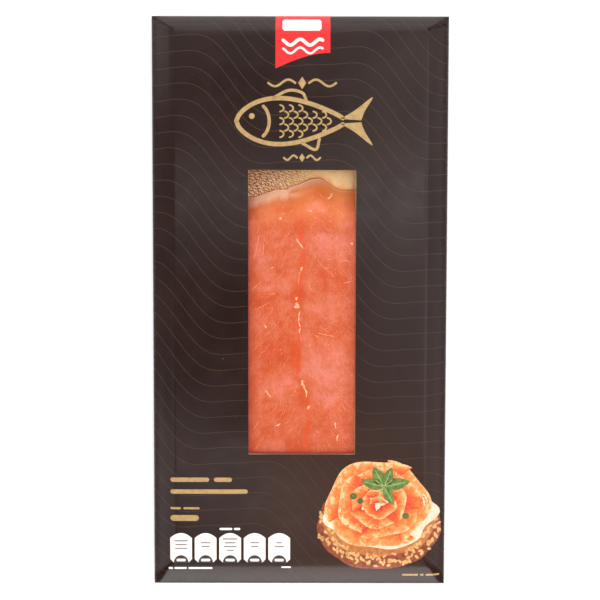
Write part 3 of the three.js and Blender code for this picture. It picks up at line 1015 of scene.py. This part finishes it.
def painted_end_light(x, y, inside):
    """Painted light: the flesh made lighter and yellower towards the salmon's upper end and along the end
    itself.
    """
    end = 0.4 * smooth(9, 2.5, inside) * smooth(-12, 0, x)
    return 0.3 * smooth(36, 50, y) * (0.85 + 0.15 * sin(x * 0.35 + 1)) + end


def painted_edge_shade(x, y):
    """Painted shade: the flesh darkened towards the sides and the lower end of what shows, where the card's
    window edges shade it.
    """
    sides = 0.1 * smooth(-10, -24, x) + 0.5 * smooth(-21, -28, x) + 0.27 * smooth(21, 28.5, x)
    low = 0.08 * smooth(-52, -74, y) + 0.2 * smooth(-75, -78, y) + 0.5 * smooth(-77.2, -77.9, y)
    return minimum(0.9, sides + low)


def make_slice(number, look):
    """One slice of the salmon, whose lower end lies hidden under the next slice."""
    first, last = number == 0, number == SLICE_COUNT - 1
    reach = SALMON_WIDTH / 2 - 0.05
    x = graded(-reach, 1.3, -30, 0.45, 30, 1.3, reach)
    low_end, high_end = salmon_end(x, -1), salmon_end(x, 1)
    high = high_end if first else minimum(cut_edge(number, x), high_end)
    middle = low_end if last else clip(cut_edge(number + 1, x), low_end, high)
    low = low_end if last else maximum(cut_edge(number + 1, x) - SALMON_THICKNESS / tan(SLICE_ANGLE), low_end)
    wide = np.flatnonzero(high - low > 2.5)
    kept = slice(wide[0], wide[-1] + 1), None
    x, low, middle, high, high_end = (part[kept] for part in (x, low, middle, high, high_end))
    hidden = linspace(0, 1, 13)[:-1] ** 0.6
    shown = 1 - (1 - linspace(0, 1, 70 if last or first else 44)) ** 1.5
    rows = [] if last else [low + (middle - low) * hidden]
    y = concatenate([*rows, middle + (high - middle) * shown], 1)
    under = slice_under(number, x, y)
    top = slice_top(number, x, y)
    if not last:
        top = minimum(top, cut_plane(number + 1, x, y) - SLICE_GAP)
    # the upper edge is rounded off, and the flesh is never thinner than a shred
    full = sqrt(clip((high - y) / (0.6 if first else 0.3), 0.01, 1))
    top = under + maximum(0.05, (top - under) * full)
    side = x - seam_at(y)
    attributes = {
        "side": side, "fan": grain_place(y, side), "tone": flesh_tone(x, y), "seam": seam_strength(x, y),
        # the dim attribute is painted shade from the window's edges
        "painted_shade": painted_edge_shade(x, y), "rim": pale_rim_and_painted_light(x, y, high_end - y), "painted_light": painted_end_light(x, y, high_end - y),
    }
    piece = make_piece(f"salmon_slice_look_{number + 1}", closed_body(at(x, y, top), at(x, y, under)), [look],
                       {key: both_sides(values) for key, values in attributes.items()}, sharp=60)
    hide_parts(f"salmon_slice_{number + 1}")


def salmon_surface(x, y):
    """Height of the whole salmon's top."""
    top = slice_top(0, x, y)
    for number in range(1, SLICE_COUNT):
        inside = smooth(0, 0.7, cut_edge(number, x) - y)
        top = top + (slice_top(number, x, y) - top) * inside
    return top


# ---------------------------------------------------------------- film

def make_film(look):
    """The clear film, drawn down over the slices and onto the board round them."""
    xs = graded(-FILM_WIDTH / 2, 1.6, -30, 0.5, 31, 1.6, FILM_WIDTH / 2)
    ys = graded(-FILM_LENGTH / 2, 1.8, -80, 0.55, 72, 2.5, FILM_LENGTH / 2)
    x, y = grid(xs, ys)
    drape = salmon_height(x, y, 0.8)
    tilt = 0
    for number in range(1, SLICE_COUNT):
        down = (cut_edge(number, x) - y) / CUT_PITCH
        tilt = tilt + slice_tilt(down) * smooth(-0.08, 0.12, down) * (1 - smooth(0.92, 1.12, down))
    wrinkle = 0.05 * sin(x / 1.9 + 2 * sin(y / 9)) * sin(y / 6.3 + 1.5 * sin(x / 7))
    creases = 0.06 * abs(sin(x / 2.6 + 0.8 * sin(y / 3))) * hump(y - salmon_end(x) - 1, 5)
    height = SALMON_BOTTOM - 0.05 + drape + (0.4 + tilt + wrinkle) * smooth(0, 1.5, drape) + creases
    # only the upper face mirrors, as the lower one is wet with oil, and less where it clings to steep flesh
    slope = hypot(*np.gradient(height, xs, ys))
    shine = smooth(1.6, 0.5, slope) * (1 - 0.75 * smooth(0.1, 0.35, slope))
    piece = make_piece("film", closed_body(at(x, y, height + 0.06), at(x, y, height)), [look],
                       {"shine": top_only(shine)}, sharp=80)
    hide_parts("clear_film")


# ---------------------------------------------------------------- fat on the salmon

FAT_THREADS = [
    # (points, width): pale threads and flecks, most of them along the seam
    ([(-1.8, 34.5), (-0.9, 32.8), (0.5, 30.8), (1.9, 29.4)], 0.7),
    ([(0.9, 19.6), (0.8, 17.6)], 1.2),
    ([(0.7, 17.8), (-0.2, 15.8), (-0.6, 13), (-0.7, 10.2)], 0.45),
    ([(-1.8, 3.9), (-1.7, 2.1)], 1.1),
    ([(-2.1, 0.8), (-1.4, -0.6), (-1.0, -2.2)], 2.3),
    ([(0.1, -3.2), (-0.6, -7.7), (0.2, -12.2)], 0.6),
    ([(0.1, -12.6), (-0.1, -15.0)], 1.1),
    ([(0.1, -15.3), (0.5, -17.4), (1.0, -19.6)], 0.35),
    ([(1.2, -39.8), (1.9, -43.1)], 1.2),
    ([(1.9, -42.6), (3.3, -45.6), (3.7, -48.8)], 0.9),
    ([(4.2, -53.8), (5.0, -54.7)], 1.7),
    ([(-10.6, 44.3), (-9.7, 45.4)], 1.0),
    ([(8.6, 36.9), (10.2, 35.7), (11.8, 33.6)], 0.5),
    ([(14.7, 55.0), (16.1, 56.6), (17.1, 58.2)], 1.2),
    ([(26.7, 32.2), (27.6, 31.2)], 1.1),
    ([(12.0, 20.1), (14.4, 19.2), (16.6, 19.0)], 0.35),
    ([(20.9, 23.0), (23.6, 22.9), (26.4, 22.4)], 0.35),
    ([(22.7, 11.1), (27.0, 12.1)], 0.4),
    ([(8.8, -14.7), (13.2, -15.9), (18.4, -16.9)], 0.4),
    ([(-18.6, -10.8), (-17.4, -12.5)], 0.6),
    ([(-17.6, -45.0), (-16.8, -46.8), (-15.3, -48.9)], 0.6),
    ([(-12.9, -64.0), (-11.3, -63.6), (-10.0, -62.7)], 0.6),
    ([(-12.1, -62.9), (-10.8, -64.6)], 0.5),
    ([(18.6, -62.1), (19.1, -65.4)], 0.7),
    ([(20.2, -68.5), (19.6, -72.2)], 0.7),
    ([(-21.3, 36.1), (-22.4, 30.5), (-24.1, 23.9)], 0.4),
    ([(-19.2, 32.6), (-19.0, 28.5), (-19.5, 25.4)], 0.35),
    ([(-15.0, 18.8), (-13.9, 19.6)], 0.6),
    ([(-16.5, 5.1), (-12.4, 5.9)], 0.35),
    ([(-25.1, 7.6), (-20.1, 12.0)], 0.3),
    ([(-23.1, -3.1), (-16.0, 1.2)], 0.3),
    ([(-24.2, -66.0), (-21.3, -61.6)], 0.3),
    ([(22.4, -52.2), (24.4, -56.5)], 0.3),
    ([(3.8, 49.1), (6.3, 48.7)], 0.6),
]


def make_fat(look):
    """Threads and flecks of fat, as low domes that follow the flesh."""
    bodies, thin = [], []
    for points, width in FAT_THREADS:
        path = curve(points, 8 * len(points))
        steps = np.diff(path, axis=0)
        side = left_of(unit(np.vstack([steps, steps[-1:]])))
        part = linspace(0, 1, len(path))
        length = np.linalg.norm(path[-1] - path[0])
        ragged = 1 + 0.3 * sin(length * 2.1 * part + width * 7) + 0.15 * sin(length * 5.3 * part + 1)
        half = (width / 2 * sqrt(clip(1 - (2 * part - 1) ** 6, 0.02, 1)) * ragged)[:, None]
        path = path + side * (0.15 * width * sin(length * 1.4 * part + 2))[:, None]
        spread = linspace(-1, 1, 7)
        x, y = (path[:, None] + side[:, None] * (half * spread)[..., None]).transpose(2, 0, 1)
        flesh = salmon_surface(x, y)
        dome = half * 0.35 * sqrt(clip(1 - spread ** 2, 0, 1)) + 0.01
        bodies.append(closed_body(at(x, y, flesh + dome), at(x, y, flesh - 0.12)))
        thin += [float(width < 0.55)] * len(bodies[-1][0])
    make_piece("fat_flecks", join(bodies), [look], {"thin": thin})


# ---------------------------------------------------------------- artwork

FISH_X = 1
FISH_Y = 95
FISH_NOSE = -34
FISH_TAIL = 21
FISH_HALF_HEIGHT = 11.2
# points of the tail, from its root and the fish's middle line, and of the fins, from the fish's middle
TAIL_LOBE = [(-1.5, 1.2), (6, 5.4), (15.4, 12.4), (11.4, 5.2), (9.6, 0.5)]
BACK_FIN = [(-15, 11.9), (-7, 15.8), (0, 14.6), (2, 11.0)]
BELLY_FIN = [(0, -11.2), (7, -14.6), (9, -9.2)]


def fish_half_height(part):
    """Half the fish's height, from its nose (0) to the root of its tail (1)."""
    return FISH_HALF_HEIGHT * sin(pi * clip(part, 0, 1) ** 0.72) ** 0.85 + 1.6 * part


def make_fish(look):
    """A plain line drawing of a fish, in place of a title."""
    nose, tail = FISH_X + FISH_NOSE, FISH_X + FISH_TAIL
    part = linspace(0, 1, 60)
    x = nose + (tail - nose) * part
    bodies = [ribbon(stack([x, FISH_Y + sign * fish_half_height(part)], -1), 2.3) for sign in (1, -1)]
    gill = nose + 15.5
    bodies.append(ribbon(arc(gill - 5, FISH_Y, 6.5, 9.0, -58, 58), 1.7))
    bodies.append(shape(arc(nose + 8, FISH_Y + 2.6, 1.5, 1.5, 0, 342, 20)))
    for row in range(-2, 3):
        for column in range(7):
            here = gill + 6.5 + 4.9 * column + (2.45 if row % 2 else 0)
            share = (here + 2.4 - nose) / (tail - nose)
            if abs(row) * 3.3 + 2.6 < fish_half_height(share) and share < 0.97:
                bodies.append(ribbon(arc(here, FISH_Y + 3.3 * row, 2.5, 1.75, -75, 75, 9), 0.85))
    for sign in (1, -1):
        lobe = curve([(tail + out, FISH_Y + sign * up) for out, up in TAIL_LOBE], 26)
        bodies.append(shape(lobe if sign < 0 else lobe[::-1]))
    for fin, count in ((BACK_FIN, 14), (BELLY_FIN, 12)):
        bodies.append(ribbon(curve([(FISH_X + out, FISH_Y + up) for out, up in fin], count), 1.5))
    print_piece("title_fish", bodies, look)


def diamond(x, y, half_width, half_height):
    return shape([(x - half_width, y), (x, y - half_height), (x + half_width, y), (x, y + half_height)])


# near and far end from the fish's middle, y, height of its waves, width and number of points of each ornament
ORNAMENTS = [(3.6, 17.5, 114.6, 1.7, 1.15, 24), (2.6, 9.4, 76.2, 1.2, 1.0, 12)]
# x and y of the lower left corner, width and height of each bar
GOLD_BARS = [
    (-68, -93.6, 20.5, 2.3), (-45, -93.6, 9.5, 2.3), (-68, -99.9, 40.8, 2.3), (-68, -108.2, 5.6, 1.1),
    (-61.2, -108.2, 8.6, 1.1), (-68, -114.4, 15, 3.1), (54.6, -144.6, 8.6, 1.1), (64.2, -144.6, 2, 1.1),
    (67.2, -144.6, 7.4, 1.1),
]


def make_gold_print(look):
    """Small ornaments above and below the fish, and the lines of gold print as plain bars."""
    bodies = []
    for sign in (-1, 1):
        for near, far, y, height, width, count in ORNAMENTS:
            out = linspace(near, far, count)
            bodies.append(ribbon(wavy(FISH_X + sign * out, y, height, (out - near) / (far - near)), width))
    bodies += [diamond(FISH_X, 114.6, 2.1, 3.2), diamond(FISH_X, 76.2, 1.5, 2.3)]
    print_piece("gold_print", bodies + [bar(*place) for place in GOLD_BARS], look)


TAB_LEFT = -12.8
TAB_RIGHT = 15.5
TAB_LOW = 122
TAB_SLANT = 8
# the badge's outline, a bar with cut corners
BADGE = [
    (-8.2, 141.2), (9.9, 141.2), (10.9, 142.2), (10.9, 146.5), (9.9, 147.5), (-8.2, 147.5), (-9.2, 146.5),
    (-9.2, 142.2),
]


def make_tab(red, white):
    """The red tab at the top edge, which turns down over the end, with a plain white badge and two waves."""
    top = HALF_LENGTH - 0.12
    u = linspace(0, 1, 21)
    low = stack([TAB_LEFT + (TAB_RIGHT - TAB_LEFT) * u, TAB_LOW + TAB_SLANT * sin(u * pi / 2)], -1)
    x, z = grid(linspace(TAB_RIGHT, TAB_LEFT, 5), linspace(FOLD_RADIUS, SPINE_HEIGHT - FOLD_RADIUS, 6))
    over_end = closed_body(at(x, HALF_LENGTH + PRINT_LIFT, z), at(x, HALF_LENGTH - INK_SINK, z))
    print_piece("red_tab", [shape([(TAB_LEFT, top), *low, (TAB_RIGHT, top)]), over_end], red)
    x = linspace(TAB_LEFT + 4, TAB_RIGHT - 4, 30)
    waves = [ribbon(wavy(x, y, 1.5, (x - TAB_LEFT) / 10.2), width, OVERPRINT_LIFT)
             for y, width in ((135.4, 1.7), (131.2, 1.1))]
    print_piece("tab_badge", [shape(BADGE, OVERPRINT_LIFT), *waves], white)


TAG_LEFT = -68.2
TAG_TOP = -120.9
TAG_LOW = -136.9
TAG_WIDTH = 11.5
TAG_PITCH = 12.95
TAG_TEXT = -128.4
TAG_LINE_PITCH = 2.05
# widths of the lines of small print on each tag
TAG_LINES = [(7.4, 6.0, 6.6), (5.2, 4.2), (7.8, 5.8, 6.8, 3.8), (5.0, 4.0), (3.0, 5.0)]
WHITE_BARS = [
    (-69.3, -140.6, 2.4, 1.1), (-66.2, -140.6, 6.6, 1.1), (-58.8, -140.6, 12.8, 1.1),
    (-9.6, -139.9, 5.2, 0.9), (-42.2, -119.3, 6.8, 1.2), (-34.6, -119.3, 3.4, 1.2),
]


def make_tags(inks):
    """Five cream tags with a domed top and a dark half disc, and plain bars for the small print on them
    and round them."""
    tags, lines, discs, marks = [], [], [], []
    dome, chamfer, disc, lift = 2.7, 2.0, 3.9, 0.075
    for k, widths in enumerate(TAG_LINES):
        left = TAG_LEFT + TAG_PITCH * k
        right, middle = left + TAG_WIDTH, left + TAG_WIDTH / 2
        top = [(middle + TAG_WIDTH / 2 * u, TAG_TOP - dome * u * u) for u in linspace(1, -1, 15)]
        tags.append(shape([(left, TAG_LOW + chamfer), (left + chamfer, TAG_LOW), (right - chamfer, TAG_LOW),
                           (right, TAG_LOW + chamfer), *top]))
        discs.append(shape(arc(middle, TAG_LOW - 0.02, disc, disc + 0.3, 0, 180, 24), lift))
        marks.append(bar(middle - 2.5, TAG_LOW + 0.8, 5.0, 1.5, 0.1))
        for j, width in enumerate(widths):
            y = TAG_TEXT + len(widths) - TAG_LINE_PITCH * j
            lines.append(bar(middle - width / 2, y, width, 0.75, lift))
    marks += [bar(*place) for place in WHITE_BARS]
    print_piece("nutrition_tags", tags, inks["cream"])
    print_piece("tag_lines", lines, inks["grey"])
    print_piece("tag_discs", discs, inks["dark"])
    print_piece("white_print", marks, inks["white"])


SERVING_X = 42
SERVING_Y = -112
BREAD_RADIUS = 33.0


def blob(x, y, radius_x, radius_y, waves, phase):
    """A wavy round outline: waves holds (how many, how deep) pairs."""
    angle = linspace(0, 2 * pi, 60, endpoint=False)
    swell = 1 + sum(deep * sin(many * angle + phase * many) for many, deep in waves)
    return stack([x + radius_x * swell * cos(angle), y + radius_y * swell * sin(angle)], -1)


def crescent(x, y, start, end, outer, depth, lift, phase):
    """A petal of folded salmon, part of a ring: its body, and its shade from 0 at the rim to 1 inside."""
    angle = np.radians(linspace(end, start, 34))[:, None]
    shade = linspace(1, 0, 11)
    reach = depth * sqrt(clip(1 - linspace(-1, 1, 34) ** 4, 0, 1))[:, None]
    radius = outer * (1 + 0.05 * sin(5 * angle + phase)) - reach * shade
    px, py = x + radius * cos(angle), y + radius * 0.84 * sin(angle)
    return closed_body(on_card(px, py, lift), on_card(px, py, -INK_SINK)), both_sides(shade + 0 * radius)


def turned(x, y, along, up, turn):
    """Points along and up from x, y, in directions turned by an angle."""
    return stack([x + along * cos(turn) - up * sin(turn), y + along * sin(turn) + up * cos(turn)], -1)


def leaf(x, y, turn, length, width):
    """A pointed leaf that starts at x, y: its outline and its middle line."""
    part = linspace(0, 1, 12)
    half = width / 2 * sin(pi * part ** 0.8) ** 0.8
    along, up = length * concatenate([part, part[-2:0:-1]]), concatenate([-half, half[-2:0:-1]])
    return turned(x, y, along, up, radians(turn)), turned(x, y, array([0, 0.8 * length]), 0, radians(turn))


# start and end angle, outer radius and depth of each petal of the rosette
PETALS = [
    (190, 312, 28.5, 17), (296, 440, 27, 16), (52, 205, 27.5, 17), (245, 352, 22, 14), (8, 122, 22, 13),
    (124, 246, 21.5, 13), (200, 306, 15.5, 10), (316, 436, 15, 9), (82, 200, 14.5, 9), (250, 372, 9.5, 7),
    (20, 140, 9, 6.5), (140, 262, 8.5, 6.5), (0, 190, 4.5, 4),
]
# angle, length and width of each leaf
LEAVES = [
    (-62, 11, 5), (12, 14, 6.5), (68, 11, 5.5), (118, 12, 6.5), (166, 12.5, 6), (40, 7, 3.4), (142, 7, 3.4),
]
CAPERS = [(-13, 4, 1.9), (-9.4, 1.4, 1.7), (14.5, -6.5, 1.8)]  # x and y from the rosette's middle, and radius
GARNISH_LIFT = 0.3
SEED_COUNT = 150
PEPPER_COUNT = 34


def make_serving(inks):
    """A plain drawing of a serving: a rosette of salmon on seeded bread, with soft cheese and a sprig."""
    x, y = SERVING_X, SERVING_Y
    bread = blob(x, y - 5, BREAD_RADIUS, 23.5, [(3, 0.012), (7, 0.012), (11, 0.01)], 0.4)
    print_piece("serving_bread", [shape(bread, 0.04)], inks["bread"])
    crumb = blob(x, y - 2.5, 29.5, 19.0, [(3, 0.02), (8, 0.02)], 1.0)
    print_piece("serving_crumb", [shape(crumb)], inks["crumb"])
    seeds = []
    round_seed = linspace(0, 2 * pi, 10, endpoint=False)
    for k in range(SEED_COUNT):
        angle = -pi * (k + 0.5) / SEED_COUNT * 1.5 + 0.75
        reach = 0.99 - 0.3 * rng.random()
        turn = rng.random() * pi
        long, short = 1.15 + 0.35 * rng.random(), 0.62 + 0.2 * rng.random()
        place = x + BREAD_RADIUS * reach * cos(angle), y - 5 + 23.0 * reach * sin(angle)
        seeds.append(shape(turned(*place, long * cos(round_seed), short * sin(round_seed), turn), 0.06))
    print_piece("serving_seeds", seeds, inks["seed"])
    cheese = blob(x + 1, y + 1.5, 28.5, 18.5, [(4, 0.05), (6, 0.045), (9, 0.03)], 0.2)
    print_piece("serving_cheese", [shape(cheese, 0.075)], inks["cheese"])

    x, y = x - 0.5, y + 7
    petals, shades = zip(*(crescent(x, y, *petal, 0.09 + 0.012 * layer, 1.7 * layer)
                           for layer, petal in enumerate(PETALS)))
    print_piece("serving_salmon", petals, inks["petal"], {"shade": concatenate(shades)})

    root = x + 3, y + 9
    outlines, veins = zip(*(leaf(*root, *sizes) for sizes in LEAVES))
    stem = curve([root, (x + 0.5, y + 4), (x + 1.5, y)], 9)
    veins = [ribbon(vein, 0.45, GARNISH_LIFT + 0.02) for vein in veins] + [ribbon(stem, 1.0, GARNISH_LIFT)]
    print_piece("serving_leaves", [shape(outline, GARNISH_LIFT) for outline in outlines], inks["leaf"])
    print_piece("serving_veins", veins, inks["vein"])
    capers = [arc(x + out, y + up, radius, radius * 0.92, 0, 342, 20) for out, up, radius in CAPERS]
    print_piece("serving_capers", [shape(caper, GARNISH_LIFT) for caper in capers], inks["caper"])
    pepper = []
    for _ in range(PEPPER_COUNT):
        angle, reach = rng.random() * 2 * pi, 24 * sqrt(rng.random())
        speck = arc(x + reach * cos(angle), y + 0.8 * reach * sin(angle), 0.34, 0.28, 0, 300, 6)
        pepper.append(shape(speck, GARNISH_LIFT))
    print_piece("serving_pepper", pepper, inks["pepper"])


# ---------------------------------------------------------------- stage

CAMERA_PLACE = (-0.54, 38.25, 620.99)
CAMERA_TURN = (-3.378, -0.053, 0.111)
CAMERA_LENS = 70
SENSOR_WIDTH = 36
FLOOR_HALF = 3000
WORLD_STRENGTH = 0.17


def area_light(name, place, size, power, aim=(0, 0, 0)):
    light = bpy.data.lights.new(name, "AREA")
    light.shape = "RECTANGLE"
    light.size, light.size_y = (side * MM for side in size)
    light.energy = power
    lamp = linked(name, light)
    lamp.location = [value * MM for value in place]
    lamp.rotation_mode = "QUATERNION"
    lamp.rotation_quaternion = (Vector(aim) - Vector(place)).to_track_quat("-Z", "Y")


# name, place, size, power and, where it isn't the origin, the point that each light faces
LIGHTS = [
    # panels all round, which the card's sloping edges mirror
    ("top_panel", (0, 1000, 1150), (700, 1100), 5.9),
    ("front_panel", (0, -1000, 1150), (700, 1100), 2.7),
    ("head_box", (0, 700, 178), (700, 350), 1.7),
    ("head_left_box", (-600, 620, 400), (420, 760), 1.0),
    ("head_right_box", (640, 620, 400), (560, 760), 1.1),
    ("sill_box", (0, -700, 210), (700, 340), 3.3),
    ("left_far_panel", (-740, 400, 330), (400, 600), 1.3, (0, 400, 0)),
    ("left_far_upper_panel", (-480, 400, 800), (400, 460), 0.5, (0, 400, 0)),
    ("left_middle_panel", (-740, 0, 570), (380, 1200), 0.5),
    ("left_near_panel", (-740, -400, 570), (400, 1200), 2.6, (0, -400, 0)),
    ("right_panel", (740, -60, 570), (900, 1200), 4.8, (0, -60, 0)),
    # dimmer boxes straight above, which the varnished card mirrors as soft bands
    ("overhead_box", (300, 0, 1000), (640, 440), 1.4),
    ("strip_box", (0, 85, 1000), (520, 80), 0.4),
    ("upper_box", (0, 360, 1000), (600, 180), 0.38),
    ("low_box", (-110, -300, 1000), (300, 130), 0.28),
]
WHITE = (1, 1, 1, 1)


def make_floor():
    mesh = bpy.data.meshes.new("floor")
    low, high = -FLOOR_HALF * MM, FLOOR_HALF * MM
    mesh.from_pydata([(low, low, 0), (high, low, 0), (high, high, 0), (low, high, 0)], [], [(0, 1, 2, 3)])
    look = Look("floor", Roughness=0.9, Specular_IOR_Level=0.1, Emission_Strength=0.15, Emission_Color=WHITE)
    mesh.materials.append(look.finish((0.94, 0.94, 0.94, 1)))
    floor = linked("floor", mesh)


def make_camera():
    camera = bpy.data.cameras.new("camera")
    camera.lens = CAMERA_LENS
    camera.sensor_width = SENSOR_WIDTH
    eye = linked("camera", camera)
    eye.location = [value * MM for value in CAMERA_PLACE]
    eye.rotation_euler = [radians(value) for value in CAMERA_TURN]
    bpy.context.scene.camera = eye


def make_stage():
    make_floor()
    world = bpy.data.worlds.new("studio")
    world.use_nodes = True
    background = world.node_tree.nodes["Background"]
    background.inputs["Color"].default_value = WHITE
    background.inputs["Strength"].default_value = WORLD_STRENGTH
    bpy.context.scene.world = world
    for light in LIGHTS:
        area_light(*light)
    make_camera()
    bpy.context.scene.view_settings.view_transform = "Standard"


# main and other colour of each ink and, where they differ from most, its roughness and gloss
INKS = {
    "copper": ((70, 48, 36), (60, 41, 31), 0.23, 0.2),
    "gold": ((186, 152, 100), (168, 134, 84)),
    "white": ((240, 236, 232), (226, 220, 214)),
    "red": ((236, 34, 36), (226, 28, 30)),
    "cream": ((255, 239, 225), (252, 233, 217)),
    "grey": ((150, 142, 138), (136, 128, 124)),
    "dark": ((62, 50, 48), (54, 43, 41)),
    "bread": ((158, 78, 44), (112, 50, 30)),
    "crumb": ((198, 120, 62), (172, 96, 48)),
    "seed": ((230, 180, 120), (204, 140, 82)),
    "cheese": ((246, 220, 194), (238, 198, 164)),
    "leaf": ((112, 138, 62), (76, 98, 52)),
    "vein": ((166, 182, 104), (140, 160, 84)),
    "caper": ((104, 112, 52), (78, 86, 40)),
    "pepper": ((96, 48, 30), (70, 36, 24)),
}
PETAL_COLORS = [
    (0.0, 248, 192, 140), (0.1, 245, 152, 82), (0.34, 240, 116, 46), (0.62, 232, 82, 32), (1.0, 192, 48, 20),
]


def main():
    make_sleeve(card_look(), core_look())
    make_board(gold_look())
    flesh = salmon_look()
    for number in range(SLICE_COUNT):
        make_slice(number, flesh)
    make_fat(fat_look())
    make_film(film_look())
    inks = {name: ink_look(f"{name}_ink", *settings) for name, settings in INKS.items()}
    inks["petal"] = shaded_ink_look("petal_ink", PETAL_COLORS)
    make_waves(inks["copper"])
    make_fish(inks["gold"])
    make_gold_print(inks["gold"])
    make_tab(inks["red"], inks["white"])
    make_tags(inks)
    make_serving(inks)
    make_stage()


main()
